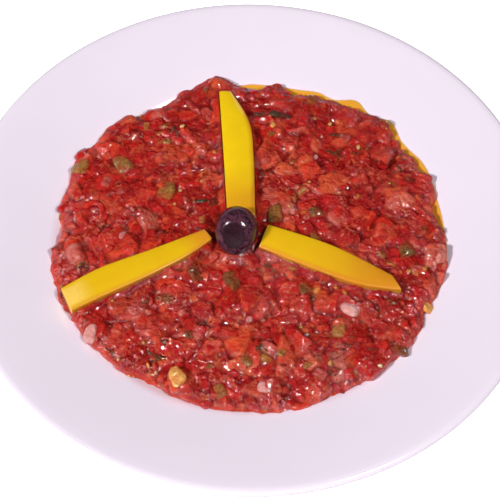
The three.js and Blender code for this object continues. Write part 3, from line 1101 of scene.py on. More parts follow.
class PieceShape:
    """Small solids of about unit size that the chopped pieces are picked from."""

    SIDES = ((1, 0, 0), (-1, 0, 0), (0, 1, 0), (0, -1, 0), (0, 0, 1), (0, 0, -1))

    def __init__(self, seed: int) -> None:
        """Starts a draw."""
        self.rng = np.random.default_rng(seed)

    def _ball(self, detail: int) -> tuple[Array, Faces]:
        """Points and faces of a unit icosphere."""
        mesh = bmesh.new()
        bmesh.ops.create_icosphere(mesh, subdivisions=detail, radius=1.0)
        points = np.array([v.co[:] for v in mesh.verts])
        faces = [tuple(v.index for v in f.verts) for f in mesh.faces]
        mesh.free()
        return points, faces

    def block(self, lengths: tuple[float, float, float], cuts: int, form: "Portion") -> tuple[Array, Faces]:
        """A chopped block with flat cut sides and soft edges.

        Args:
            lengths: its length, width and thickness.
            cuts: how many corners are cut off.
            form: the portion that it is for, which says how sharp, bent and curled it is.

        Returns:
            Its points and faces.
        """
        points, faces = self._ball(form.detail)
        bend = form.bend * self.rng.uniform(0.2, 1)
        normals = [np.array(side, float) + self.rng.normal(0, 0.14, 3) for side in self.SIDES]
        reaches = list(self.rng.uniform(0.8, 1.0, len(normals)))
        for _ in range(cuts):
            normals.append(self.rng.normal(0, 1, 3))
            reaches.append(self.rng.uniform(0.85, 1.15))
        inverse = np.zeros(len(points))
        for normal, reach in zip(normals, reaches):
            unit = normal / np.linalg.norm(normal)
            inverse += (np.maximum(points @ unit, 0) / reach) ** form.sharpness
        points = points / (inverse ** (1 / form.sharpness))[:, None]
        points = points * np.array(lengths) / 2
        points[:, 2] += bend * (points[:, 0] * 2) ** 2 * lengths[0] / 2
        points += self.rng.normal(0, 0.008, points.shape)
        if form.curl:
            radius = lengths[0] / form.curl
            angle, out = points[:, 0] / radius, radius + points[:, 1]
            points[:, 0], points[:, 1] = out * np.sin(angle), out * np.cos(angle) - radius
        return points, faces

    def leaf(self, width: float) -> tuple[Array, Faces]:
        """A torn bit of leaf, a thin wavy solid of unit length."""
        across, rows, half_thickness = 5, 7, 0.03
        along = np.linspace(-0.5, 0.5, rows)
        round_ends = np.sqrt(np.maximum(1 - (along * 1.9) ** 2, 0))
        widths = width * (0.35 + 0.65 * round_ends) * self.rng.uniform(0.6, 1.2, rows)
        wave, curl = self.rng.uniform(-0.2, 0.2), self.rng.uniform(-0.5, 0.5)
        side = np.linspace(-0.5, 0.5, across)
        x = np.repeat(along, across)
        y = np.outer(widths, side).ravel() + np.repeat(self.rng.uniform(-0.06, 0.06, rows), across)
        z = wave * x**2 * 2 + curl * y**2 * 2 + 0.05 * np.sin(9 * x + 3 * y)
        upper = np.stack([x, y, z + half_thickness], 1)
        lower = np.stack([x, y, z - half_thickness], 1)
        n = len(upper)
        faces: Faces = []
        for i in range(rows - 1):
            for j in range(across - 1):
                a = i * across + j
                faces.append((a, a + across, a + across + 1, a + 1))
                faces.append((n + a, n + a + 1, n + a + across + 1, n + a + across))
        rim = list(range(across)) + [i * across + across - 1 for i in range(1, rows)]
        rim += [(rows - 1) * across + j for j in range(across - 2, -1, -1)]
        rim += [i * across for i in range(rows - 2, 0, -1)]
        for a, b in zip(rim, rim[1:] + rim[:1]):
            faces.append((a, b, n + b, n + a))
        return np.concatenate([upper, lower]), faces

    def seed(self) -> tuple[Array, Faces]:
        """A flat seed, a little pointed at one end."""
        points, faces = self._ball(1)
        x = points[:, 0]
        narrow = 1 - 0.35 * smoothstep(0.1, 1.0, x)
        shaped = np.stack([x * 0.5, points[:, 1] * 0.4 * narrow, points[:, 2] * 0.15 * narrow], 1)
        return shaped, faces


class PieceTree(Graph):
    """Geometry Nodes that set one of several shapes on each point, turned and tipped at random."""

    INPUTS = (("Tilt", "NodeSocketFloat"), ("Seed", "NodeSocketInt"))

    def __init__(self, name: str, shapes: bpy.types.Collection, material: bpy.types.Material) -> None:
        """Builds the tree.

        Args:
            name: the tree's name.
            shapes: the shapes that it picks from.
            material: what the pieces are made of.
        """
        super().__init__(bpy.data.node_groups.new(name, "GeometryNodeTree"))
        face = self.tree.interface
        face.new_socket("Geometry", in_out="INPUT", socket_type="NodeSocketGeometry")
        self.identifiers = {}
        for label, kind in self.INPUTS:
            socket = face.new_socket(label, in_out="INPUT", socket_type=kind)
            self.identifiers[label] = socket.identifier
        face.new_socket("Geometry", in_out="OUTPUT", socket_type="NodeSocketGeometry")
        given = self.node("NodeGroupInput")
        tilt, seed = given.outputs["Tilt"], given.outputs["Seed"]
        picked = self.node("GeometryNodeCollectionInfo", None, {0: shapes, 1: True, 2: True})
        spin = self.node("ShaderNodeCombineXYZ", None, {2: self._kept("turn", "FLOAT")}).outputs[0]
        outward = {"Rotation": spin, "Vector": self._kept("facing", "FLOAT_VECTOR")}
        facing = self.node("FunctionNodeAlignRotationToVector", {"axis": "Z"}, outward)
        low = self.node("ShaderNodeCombineXYZ", None, {0: Wire(self, tilt) * -1, 1: Wire(self, tilt) * -1})
        high = self.node("ShaderNodeCombineXYZ", None, {0: tilt, 1: tilt})
        tip = self._random("FLOAT_VECTOR", low.outputs[0], high.outputs[0], seed, 1)
        turned_by = self.node(
            "FunctionNodeRotateRotation", {"rotation_space": "LOCAL"}, {0: facing.outputs[0], 1: tip}
        )
        placed = self.node(
            "GeometryNodeInstanceOnPoints",
            None,
            {
                "Points": given.outputs["Geometry"],
                "Instance": picked.outputs[0],
                "Pick Instance": True,
                "Instance Index": self._random("INT", 0, len(shapes.objects) - 1, seed, 2),
                "Rotation": turned_by.outputs[0],
                "Scale": self._kept("size", "FLOAT"),
            },
        )
        toned = self.node(
            "GeometryNodeStoreNamedAttribute",
            {"data_type": "FLOAT", "domain": "INSTANCE"},
            {
                "Geometry": placed.outputs[0],
                "Name": "tone",
                "Value": self._random("FLOAT", 0.0, 1.0, seed, 3),
            },
        )
        real = self.node("GeometryNodeRealizeInstances", None, {0: toned.outputs[0]})
        bare = {"Geometry": real.outputs[0], "Material": material}
        dressed = self.node("GeometryNodeSetMaterial", None, bare)
        self.node("NodeGroupOutput", None, {0: dressed.outputs[0]})

    def _kept(self, name: str, kind: str) -> bpy.types.NodeSocket:
        """A value kept on each point."""
        made = self.node("GeometryNodeInputNamedAttribute", {"data_type": kind}, {"Name": name})
        return next(s for s in made.outputs if s.enabled)

    def _random(
        self, kind: str, low: Any, high: Any, seed: bpy.types.NodeSocket, offset: int
    ) -> bpy.types.NodeSocket:
        """A random value of each point, drawn from the seed and an offset."""
        shifted = Wire(self, seed) * 7 + offset
        made = self.node("FunctionNodeRandomValue", {"data_type": kind})
        given = {"Min": low, "Max": high, "Seed": shifted.socket}
        for socket in (s for s in made.inputs if s.enabled):
            value = given.get(socket.name)
            if isinstance(value, bpy.types.NodeSocket):
                self.tree.links.new(value, socket)
            elif value is not None:
                socket.default_value = value
        return next(s for s in made.outputs if s.enabled)


class HeightMap:
    """Height of a surface over a square grid of places, read back between them."""

    def __init__(self, points: Array, step: float = 0.8, reach: float = 96.0) -> None:
        """Reads the surface's points.

        Args:
            points: places of its points, n by 3.
            step: spacing of the grid.
            reach: half the width of the square.
        """
        self.step, self.reach = step, reach
        size = int(2 * reach / step) + 1
        sums, counts = np.zeros((size, size)), np.zeros((size, size))
        ix = np.round((points[:, 0] + reach) / step).astype(int)
        iy = np.round((points[:, 1] + reach) / step).astype(int)
        np.add.at(sums, (ix, iy), points[:, 2])
        np.add.at(counts, (ix, iy), 1)
        for _ in range(4):
            empty = counts == 0
            spread_sums = sum(np.roll(sums, s, a) for s in (-1, 1) for a in (0, 1))
            spread_counts = sum(np.roll(counts, s, a) for s in (-1, 1) for a in (0, 1))
            sums, counts = np.where(empty, spread_sums, sums), np.where(empty, spread_counts, counts)
        self.heights = sums / np.maximum(counts, 1)

    def at(self, x: Array, y: Array) -> Array:
        """Height over each place."""
        limit = len(self.heights) - 2
        fx = np.clip((np.asarray(x) + self.reach) / self.step, 0, limit)
        fy = np.clip((np.asarray(y) + self.reach) / self.step, 0, limit)
        ix, iy = fx.astype(int), fy.astype(int)
        tx, ty = fx - ix, fy - iy
        grid = self.heights
        low = grid[ix, iy] * (1 - tx) + grid[ix + 1, iy] * tx
        high = grid[ix, iy + 1] * (1 - tx) + grid[ix + 1, iy + 1] * tx
        return low * (1 - ty) + high * ty


@dataclass
class Portion:
    """All the loose pieces of one kind and cut."""

    name: str
    kind: Kind
    count: int
    sizes: tuple[float, float]
    shape: tuple[float, float, float]
    seed: int
    closeness: float = 1.0
    tilt: float = 0.45
    lift: float = 0.0
    bend: float = 0.0
    curl: float = 0.0
    sharpness: float = 5.0
    cuts: int = 2
    tuft: int = 0
    detail: int = 2
    variants: int = 7
    edge: float = 0.97
    landmarks: tuple[tuple[float, ...], ...] = ()
    spots: list[Spot] = field(default_factory=list)

    TRIES_EACH = 8  # places drawn for each piece that is wanted
    CLEARANCE = 0.42  # kept from a topping, as a share of a piece's size

    def choose(self, taken: SpotMap, form: HeapForm, toppings: Toppings) -> None:
        """Chooses where the pieces lie: the landmarks, then others at random where there is room.

        Args:
            taken: places of the pieces that came before.
            form: the heap.
            toppings: what the pieces keep clear of.
        """
        rng = np.random.default_rng(self.seed)
        self.spots = [Spot(*landmark) for landmark in self.landmarks]
        for spot in self.spots:
            taken.add(spot)
        for spot in list(self.spots):
            for dx, dy, share in rng.uniform((-0.5, -0.5, 0.4), (0.5, 0.5, 0.9), (self.tuft, 3)):
                self.spots.append(Spot(spot.x + dx * spot.size, spot.y + dy * spot.size, spot.size * share))
        tries = self.count * self.TRIES_EACH
        bearings, radii = rng.uniform(0, TAU, tries), np.sqrt(rng.uniform(0, 1, tries))
        x = radii * form.radius * np.cos(bearings)
        y = radii * form.radius * np.sin(bearings)
        sizes = self.sizes[0] + (self.sizes[1] - self.sizes[0]) * rng.beta(1.6, 2.6, tries)
        inside = form.share(x, y) < self.edge
        clear = toppings.distance(x, y) > sizes * self.CLEARANCE
        for i in np.nonzero(inside & clear)[0]:
            spot = Spot(x[i], y[i], sizes[i])
            if taken.room(spot, self.closeness):
                taken.add(spot)
                self.spots.append(spot)
            if len(self.spots) >= self.count + len(self.landmarks) * (1 + self.tuft):
                break

    def _shapes(self) -> bpy.types.Collection:
        """Makes the shapes that the pieces are picked from, in a collection of their own."""
        maker = PieceShape(self.seed)
        made = bpy.data.collections.new(self.name + "_shapes")
        for index in range(self.variants):
            lengths = tuple(np.array(self.shape) * maker.rng.uniform(0.82, 1.12, 3))
            if self.kind is Kind.HERB:
                points, faces = maker.leaf(lengths[1])
            elif self.kind is Kind.SEED:
                points, faces = maker.seed()
            else:
                points, faces = maker.block(lengths, self.cuts, self)
            mesh = bpy.data.meshes.new(f"{self.name}_shape_{index}")
            mesh.from_pydata((points * MM).tolist(), [], faces)
            mesh.shade_smooth()
            made.objects.link(bpy.data.objects.new(mesh.name, mesh))
        return made

    def build(self, ground: HeightMap, plate: PlateForm, form: HeapForm) -> None:
        """Sets the pieces on the pulp, as one mesh.

        Args:
            ground: height of the pulp.
            plate: the plate, which no piece reaches.
            form: the heap.
        """
        x, y, size = (np.array([getattr(s, k) for s in self.spots]) for k in ("x", "y", "size"))
        z = ground.at(x, y) + self.lift * size
        z = np.maximum(z, plate.height(np.hypot(x, y)) + GAP + 0.3 * size)
        host = make_object(self.name + "_places", np.stack([x, y, z], 1), [])
        slope = smoothstep(0.9, 1.0, form.share(x, y)) * 0.9
        r = np.hypot(x, y)
        facing = np.stack([x / r * slope, y / r * slope, np.ones(len(x))], 1)
        kept = host.data.attributes.new("facing", "FLOAT_VECTOR", "POINT")
        kept.data.foreach_set("vector", facing.astype(np.float32).ravel())
        keep_number(host, "size", size)
        turns = np.random.default_rng(self.seed + 1).uniform(0, TAU, len(self.spots))
        keep_number(host, "turn", [t if s.turn is None else s.turn for s, t in zip(self.spots, turns)])
        shapes = self._shapes()
        tree = PieceTree(self.name + "_scatter", shapes, FLESH[self.kind].material())
        modifier = host.modifiers.new("scatter", "NODES")
        modifier.node_group = tree.tree
        modifier[tree.identifiers["Tilt"]] = self.tilt
        modifier[tree.identifiers["Seed"]] = self.seed
        bpy.context.view_layer.update()
        seen = host.evaluated_get(bpy.context.evaluated_depsgraph_get())
        mesh = bpy.data.meshes.new_from_object(seen)
        mesh.name = self.name
        made = bpy.data.objects.new(self.name, mesh)
        bpy.context.scene.collection.objects.link(made)
        for shape in list(shapes.objects):
            bpy.data.objects.remove(shape)
        bpy.data.collections.remove(shapes)
        bpy.data.objects.remove(host)
        bpy.data.node_groups.remove(tree.tree)
        points = np.empty(len(mesh.vertices) * 3)
        mesh.vertices.foreach_get("co", points)
        points = points.reshape(-1, 3) / MM
        above = points[:, 2] - ground.at(points[:, 0], points[:, 1])
        keep_number(made, "soak", 1 - smoothstep(0.0, 1.8, above))
        settle(made, [])


PORTIONS = (
    Portion(
        "green_pepper_pieces", Kind.GREEN_PEPPER, count=10, sizes=(3.0, 6.0), shape=(1.0, 0.9, 0.5),
        seed=101, closeness=1.6, tilt=0.3, lift=-0.1, bend=0.05, detail=3,
        landmarks=(
            (-78, 34, 9.5), (-59, 35, 9), (-8, -27, 9.5), (69, -7, 10), (28, 75, 6),
            (-38, 19, 9.5), (62, 63, 5), (-11, -80, 6), (65, -58, 6.5), (39, -51, 6.5),
            (24, -30, 6.5), (-24, -24, 8), (11, 7, 8), (29, 9, 6), (0, -66, 6),
        ),
    ),
    Portion(
        "onion_pieces", Kind.ONION, count=26, sizes=(3.0, 7.0), shape=(1.0, 0.85, 0.42), seed=102,
        closeness=1.3, tilt=0.25, lift=-0.15, bend=0.12, detail=3,
        landmarks=(
            (18, -45, 8), (-66, 25, 6.5), (-58, 19, 7), (-21, 65, 7.5), (6, 38, 6.5),
            (-49, -42, 7), (55, -50, 5.5), (30, -72, 8), (43, 52, 6),
        ),
    ),
    Portion(
        "pale_onion_pieces", Kind.PALE_ONION, count=3, sizes=(2.5, 4.5), shape=(1.0, 0.9, 0.5),
        seed=109, closeness=1.3, tilt=0.2, lift=-0.14, cuts=3, sharpness=3.0, detail=3,
        landmarks=((44, -40, 10), (7, -78, 9.5), (-67, -54, 9.5), (-57, -4, 5)),
    ),
    Portion(
        "yellow_pieces", Kind.YELLOW_PEPPER, count=4, sizes=(2.4, 4.0), shape=(1.0, 0.8, 0.4), seed=103,
        closeness=1.4, detail=3, landmarks=((-30, -75, 10), (78, -35, 5.5)),
    ),
    Portion(
        "red_pepper_pieces", Kind.RED_PEPPER, count=26, sizes=(3.5, 8.0), shape=(1.0, 0.75, 0.4),
        seed=104, closeness=1.2, tilt=0.3, lift=-0.14, bend=0.14, detail=3,
        landmarks=(
            (37, 15, 9.5), (75, -29, 8), (56, -58, 9), (44, -70, 8.5), (60, 4, 7.5), (-80, -10, 8),
            (-29, 44, 8), (-27, -58, 10),
        ),
    ),
    Portion(
        "pepper_curls", Kind.RED_PEPPER, count=5, sizes=(5.0, 7.5), shape=(1.5, 0.24, 0.3), seed=110,
        closeness=1.2, tilt=0.2, lift=-0.02, curl=4.2, cuts=0, detail=3,
        landmarks=((-68, 12, 12, -0.7), (33, 9, 8, 2.0)),
    ),
    Portion(
        "tomato_dice", Kind.TOMATO, count=120, sizes=(3.6, 8.5), shape=(1.0, 0.85, 0.5), seed=105,
        closeness=0.92, tilt=0.4, lift=-0.19, cuts=3, edge=0.995,
        landmarks=((-79.2, 42.2, 7), (67, 53, 7), (-83.5, 13, 8), (-83.5, -3, 6)),
    ),
    Portion(
        "tomato_bits", Kind.TOMATO, count=340, sizes=(1.1, 3.4), shape=(1.0, 0.8, 0.6), seed=106,
        closeness=0.75, tilt=0.8, lift=-0.2, cuts=3, detail=1, edge=1.0,
    ),
    Portion(
        "herb_flakes", Kind.HERB, count=120, sizes=(1.2, 4.0), shape=(1.0, 0.36, 0.06), seed=107,
        closeness=0.35, tilt=0.3, lift=0.13, edge=1.0, tuft=3,
        landmarks=(
            (9, 8, 5), (7, 32, 5), (-17, 13, 5), (5, 64, 4), (5, -61, 5), (39, 44, 5),
            (-73, -21, 5), (62, -36, 4), (42, -57, 4.5), (73, 30, 4), (36, -70, 4), (61, -56, 4),
            (67, 35, 4), (-45, -39, 4), (-36, -58, 4), (-37, 54, 4.5), (-39, -65, 5),
            (-58, -63, 4), (-66, 1, 4),
        ),
    ),
    Portion(
        "herb_leaves", Kind.HERB, count=9, sizes=(4.5, 8.0), shape=(1.0, 0.17, 0.05), seed=111,
        tilt=0.1, lift=0.07,
        landmarks=((9, 63, 17, -0.13), (41, 54, 10, -0.1), (-24, 14, 9, 0.1), (38, 43, 8, -0.4)),
    ),
    Portion(
        "pale_seeds", Kind.SEED, count=16, sizes=(1.8, 2.8), shape=(1.0, 0.8, 0.3), seed=108,
        closeness=0.9, tilt=0.4, lift=0.05, edge=1.0,
        landmarks=(
            (-33, 57, 3.6), (36, 61, 3), (49, 48, 3), (41, -34, 3), (70, -19, 3), (77, -18, 3),
            (35, -66, 3), (56, -67, 3),
        ),
    ),
)


# The kinds large enough for the sauce to rise round their pieces.
LAPPED = PORTIONS[:5]


@dataclass
class Ezme:
    """The heap: pulp with relief and colour, and the loose chopped pieces on it."""

    form: HeapForm
    plate: PlateForm
    toppings: Toppings
    chunks: ChunkField = field(default_factory=ChunkField)
    finish: PulpFinish = field(default_factory=PulpFinish)
    rings: int = 166
    side_rings: int = 18
    bank: float = 2.8
    bank_width: float = 1.3
    lap: float = 0.7
    lap_share: float = 0.62
    film: float = 0.22
    highest: float = 3.9
    clearance: float = 0.06
    foot_radii: tuple[float, ...] = (83.0, 78.0, 74.0)

    def _section(self, ring: int, bearings: Array) -> tuple[Array, Array, Array, Array]:
        """One ring of the smooth heap.

        Args:
            ring: its number from the middle.
            bearings: where its points are.

        Returns:
            The points' places, their outward directions, their distance along the surface from the middle,
            and how far down the side they are, from 0 to 1.
        """
        edge = self.form.outline(bearings)
        brow = edge - self.form.side_width
        top_rings = self.rings - self.side_rings
        if ring <= top_rings:
            r = brow * ring / top_rings
            z = self.form.dome(r / edge)
            lean = 2 * (self.form.crown_z - self.form.brow_z) * r / (edge * self.form.brow_share) ** 2
            down, along = np.zeros_like(r), r
        else:
            angle = (ring - top_rings) / self.side_rings * math.pi / 2
            brow_z = self.form.dome(brow / edge)
            foot_z = self.plate.height(edge) + 0.1
            drop = brow_z - foot_z
            r = brow + self.form.side_width * math.sin(angle)
            z = foot_z + drop * math.cos(angle)
            lean = drop / self.form.side_width * math.tan(min(angle, 1.5)) + 0.08
            down = np.full_like(r, angle * 2 / math.pi)
            along = brow + down * (self.form.side_width + drop) * 0.8
        flat = np.stack([np.cos(bearings), np.sin(bearings)], 1)
        places = np.concatenate([flat * r[:, None], z[:, None]], 1)
        facing = np.concatenate([flat * np.broadcast_to(lean, r.shape)[:, None], np.ones((len(r), 1))], 1)
        facing /= np.linalg.norm(facing, axis=1)[:, None]
        return places, facing, along, down

    def _relief(
        self, plan: tuple[Array, Array], flat: tuple[Array, Array], top: Array, laps: Iterable[Spot]
    ) -> tuple[Array, Array]:
        """Relief of chopped pieces and the sauce between them over the smooth heap.

        Args:
            plan: places along X and Y.
            flat: the same, with the heap's side rolled out flat.
            top: height of the highest chopped piece over each.
            laps: large loose pieces that the sauce rises round.

        Returns:
            The relief, and how bare of sauce it is, from 0 to 1.
        """
        x, y = plan
        hills = 0.7 * lattice_noise(*flat, 19, 2)
        sauce = hills + 0.75 * lattice_noise(*flat, 9, 3) + 0.55 * lattice_noise(*flat, 3.4, 4)
        sauce = sauce - 0.42 + 0.009 * flat[1]
        top = top + hills
        for spot in laps:
            off = np.hypot(x - spot.x, y - spot.y)
            sauce = sauce + self.lap * np.exp(-((off / (spot.size * self.lap_share)) ** 4))
        near = np.maximum(self.toppings.distance(x, y), 0)
        lumps = 0.3 * lattice_noise(x, y, 4.5, 7) + 0.35 * lattice_noise(x, y, 2.1, 8)
        bank = self.bank * (1 + lumps) * np.exp(-((near / self.bank_width) ** 2))
        sauce, top = sauce + bank, top + bank * 0.8
        relief = np.logaddexp(top / self.film, sauce / self.film) * self.film
        return relief, np.exp((top - relief) / 0.4)

    def _underside(self, bearings: Array) -> list[Array]:
        """Rings of the pulp's foot on the plate, and their middle."""
        radii = (*self.foot_radii, self.plate.floor_radius)
        rings = [around(r, bearings, float(self.plate.height(r)) + self.clearance) for r in radii]
        return rings + [np.array([[0, 0, self.plate.floor_z + self.clearance]])]

    def build_pulp(self, laps: Iterable[Spot]) -> HeightMap:
        """Makes the pulp with its relief.

        Args:
            laps: large loose pieces that the pulp rises round.

        Returns:
            Its height over the plan.
        """
        bearings = [np.arange(6 * k) * TAU / (6 * k) for k in range(1, self.rings + 1)]
        sections = zip(*(self._section(k + 1, b) for k, b in enumerate(bearings)))
        middle = ([(0, 0, self.form.crown_z)], [(0, 0, 1)], [0], [0])
        places, facing, along, down = (np.concatenate([m, *part]) for m, part in zip(middle, sections))
        bearing = np.concatenate([[0], *bearings])
        u, v = along * np.cos(bearing), along * np.sin(bearing)
        top, flesh, smooth = self.chunks.lay(u, v)
        x, y = places[:, 0], places[:, 1]
        near = self.toppings.distance(x, y)
        relief, bare = self._relief((x, y), (u, v), top, laps)
        fine = 0.32 * lattice_noise(u, v, 2.2, 5) + 0.12 * lattice_noise(u, v, 1.2, 6)
        relief = relief + fine * (1 - 0.6 * smooth)
        relief = np.minimum(relief, 0.1 + self.highest * smoothstep(-0.1, 0.6, near))
        foot = smoothstep(0.55, 1.0, down)
        relief = relief * (1 - 0.5 * foot)
        places = places + facing * relief[:, None]
        places[:, 2] = np.minimum(places[:, 2], self.toppings.seat(places[:, 0], places[:, 1]))
        floor = self.plate.height(np.hypot(places[:, 0], places[:, 1])) + self.clearance
        places[:, 2] = np.maximum(places[:, 2], floor)
        starts = np.concatenate([[0, 1], 1 + np.cumsum([len(b) for b in bearings])])
        rings = [places[a:b] for a, b in zip(starts, starts[1:])] + self._underside(bearings[-1][::3])
        points, faces = skin(rings)
        made = make_object("ezme_pulp", points, faces, self.finish.material())
        spare = len(points) - len(places)

        def whole(values: Array, rest: float = 0.0) -> Array:
            """Values of the top, with one for the whole underside."""
            return np.concatenate([values, np.full(spare, rest)])

        relief = whole(relief)[:, None]
        # Painted shade: 1 in the dips between pieces, at the olive's seat and beside the strips, where the
        # colour is darkened.
        hollow = smoothstep(0.0, 0.8, (soften(relief, faces, 28) - relief)[:, 0])
        olive = self.toppings.olive
        off = np.hypot(points[:, 0] - olive.middle[0], points[:, 1] - olive.middle[1])
        hollow = np.maximum(hollow, 1 - smoothstep(0.85, 1.15, off / olive.radius))
        hollow = np.maximum(hollow, whole(0.8 * (1 - smoothstep(0.2, 1.8, near))))
        far = smoothstep(0.1, 0.45, down) * smoothstep(-0.9, -0.4, v / np.maximum(along, 1))
        keep_number(made, "hollow", hollow)
        keep_number(made, "bare", whole(bare))
        keep_number(made, "smooth", whole(smooth))
        # Painted glow: 1 at the bottom of the side, where the foot turns orange.
        keep_number(made, "thin", whole(foot, 1.0))
        keep_number(made, "far", whole(far))
        flesh = np.concatenate([flesh, np.tile(flesh[-1], (spare, 1))])
        keep_colour(made, "flesh", 0.2 * flesh + 0.8 * soften(flesh, faces, 6))
        settle(made, ["ezme"])
        return HeightMap(places)

    def build(self) -> None:
        """Makes the pulp and sets the loose pieces on it."""
        taken = SpotMap()
        for portion in PORTIONS:
            portion.choose(taken, self.form, self.toppings)
        ground = self.build_pulp([spot for portion in LAPPED for spot in portion.spots])
        for portion in PORTIONS:
            portion.build(ground, self.plate, self.form)


@dataclass(frozen=True)
class JuiceFinish:
    """Clear juice at the heap's edge, redder where it is juice and yellow where it is oil."""

    juice: Colour = (196, 62, 24)
    oil: Colour = (228, 176, 58)
    roughness: float = 0.12

    def material(self) -> bpy.types.Material:
        """Builds the material. It reads oil, and thick, which is 0 at the film's feathered edge."""
        shader = Shader("oil_and_juice")
        thick = shader.attribute("thick")
        oil = shader.attribute("oil") * (0.75 + 0.25 * shader.noise(6, 2))
        base = shader.mix(oil, rgba(self.juice), rgba(self.oil))
        deeper = shader.darkened(base, (0.9, 0.66, 0.45))
        return shader.surface(
            {
                "Base Color": shader.mix(thick * 0.6, base, deeper),
                "Roughness": self.roughness,
                "Alpha": 0.94 * thick.ramp(0.0, 0.6),
                "IOR": 1.4,
                "Normal": shader.bump(shader.noise(5, 2), 0.1),
            }
        )


@dataclass
class JuiceFilm:
    """The film of oil and juice that runs out on to the plate round the heap."""

    form: HeapForm
    plate: PlateForm
    finish: JuiceFinish = field(default_factory=JuiceFinish)
    columns: int = 900
    rows: int = 9
    depth: float = 0.35
    oil_arc: tuple[float, float] = (-12.0, 96.0)
    oil_radius: float = 88.2
    # Bearing in degrees, reach and half width in degrees of each bulge of the oil's edge.
    oil_lobes: tuple[tuple[float, float, float], ...] = (
        (27, 2.2, 8), (45, 4.6, 5), (57.5, 4.2, 4.5), (70, 1.2, 4),
    )

    def build(self) -> None:
        """Makes the film."""
        bearings = np.arange(self.columns) * TAU / self.columns
        degrees = (np.degrees(bearings) + 180) % 360 - 180
        low, high = self.oil_arc
        oil = smoothstep(low - 8, low + 6, degrees) * (1 - smoothstep(high - 6, high + 8, degrees))
        side = smoothstep(222, 228, degrees % 360) * (1 - smoothstep(236, 242, degrees % 360))
        edge = self.form.outline(bearings)
        x, y = edge * np.cos(bearings), edge * np.sin(bearings)
        ragged, fine = lattice_noise(x, y, 5.5, 31), lattice_noise(x, y, 2.2, 32)
        bulges = sum(reach * np.exp(-(((degrees - at) / width) ** 2)) for at, reach, width in self.oil_lobes)
        oil_edge = np.maximum(edge + 0.5, self.oil_radius + bulges + 0.25 * ragged)
        outer = edge + 0.2 + 0.7 * ragged + 0.4 * fine
        outer = outer + (oil_edge - outer) * oil + 1.0 * side
        inner = edge - 3.0
        rings, thick = [], []
        for share in np.arange(self.rows) / (self.rows - 1):
            r = outer + (inner - outer) * share**1.5
            lift = self.depth * np.sqrt(np.clip((outer - r) / 2.2, 0, 1)) + 0.03
            rings.append(around(r, bearings, self.plate.height(r) + lift))
            thick.append(np.clip((outer - r) / 1.6, 0, 1))
        for r in (inner, outer - 0.02):
            rings.append(around(r, bearings, self.plate.height(r) + 0.02))
            thick.append(np.zeros(self.columns))
        points = np.concatenate(rings)
        n, count = self.columns, len(rings)
        faces = []
        for a in range(count):
            b = (a + 1) % count
            for i in range(n):
                j = (i + 1) % n
                faces.append((a * n + i, a * n + j, b * n + j, b * n + i))
        made = make_object("oil_and_juice_film", points, faces, self.finish.material())
        keep_number(made, "oil", np.tile(oil, count))
        keep_number(made, "thick", np.concatenate(thick))
        settle(made, ["oil_pool"])


@dataclass(frozen=True)
class PepperFinish:
    """Waxy yellow pepper skin over paler juicy flesh."""

    skin: Colour
    # Deeper orange, mostly painted shade near the olive, at the tips and along one edge.
    warm: Colour = (206, 134, 26)
    # Pale flesh of the cut ends, also used for the painted sheen at one strip's tip.
    flesh: Colour = (238, 200, 106)
    roughness: float = 0.34

    def material(self, name: str) -> bpy.types.Material:
        """Builds the material. It reads peel, 1 on the skin, and a mask of orange that is mostly painted
        shade.
        """
        shader = Shader(name)
        cloud = shader.noise(9, 3).ramp(0.3, 0.7)
        warmth = shader.attribute("warmth") + 0.1 * cloud
        peel = shader.attribute("peel")
        # Painted shade: the skin turns deeper orange where the orange mask is high.
        skin_colour = shader.mix(warmth, rgba(self.skin), rgba(self.warm))
        wet = shader.noise(1.1, 3)
        flesh = shader.mix(wet.ramp(0.4, 0.7) * 0.35, rgba(self.flesh), rgba(self.skin))
        relief = shader.noise(0.8, 3) * (1 - peel) * 0.9 + shader.noise(7, 2) * 1.4
        relief = relief + shader.noise(0.35, 1) * 0.05
        return shader.surface(
            {
                "Base Color": shader.mix(peel, flesh, skin_colour),
                "Roughness": self.roughness - 0.12 * (1 - peel),
                "Subsurface Weight": 0.3,
                "Subsurface Radius": (1.0, 0.6, 0.12),
                "Subsurface Scale": 1.6 * MM,
                "Specular IOR Level": 0.4,
                "Coat Weight": 0.15,
                "Coat Roughness": 0.15,
                "Normal": shader.bump(relief, 0.12),
            }
        )


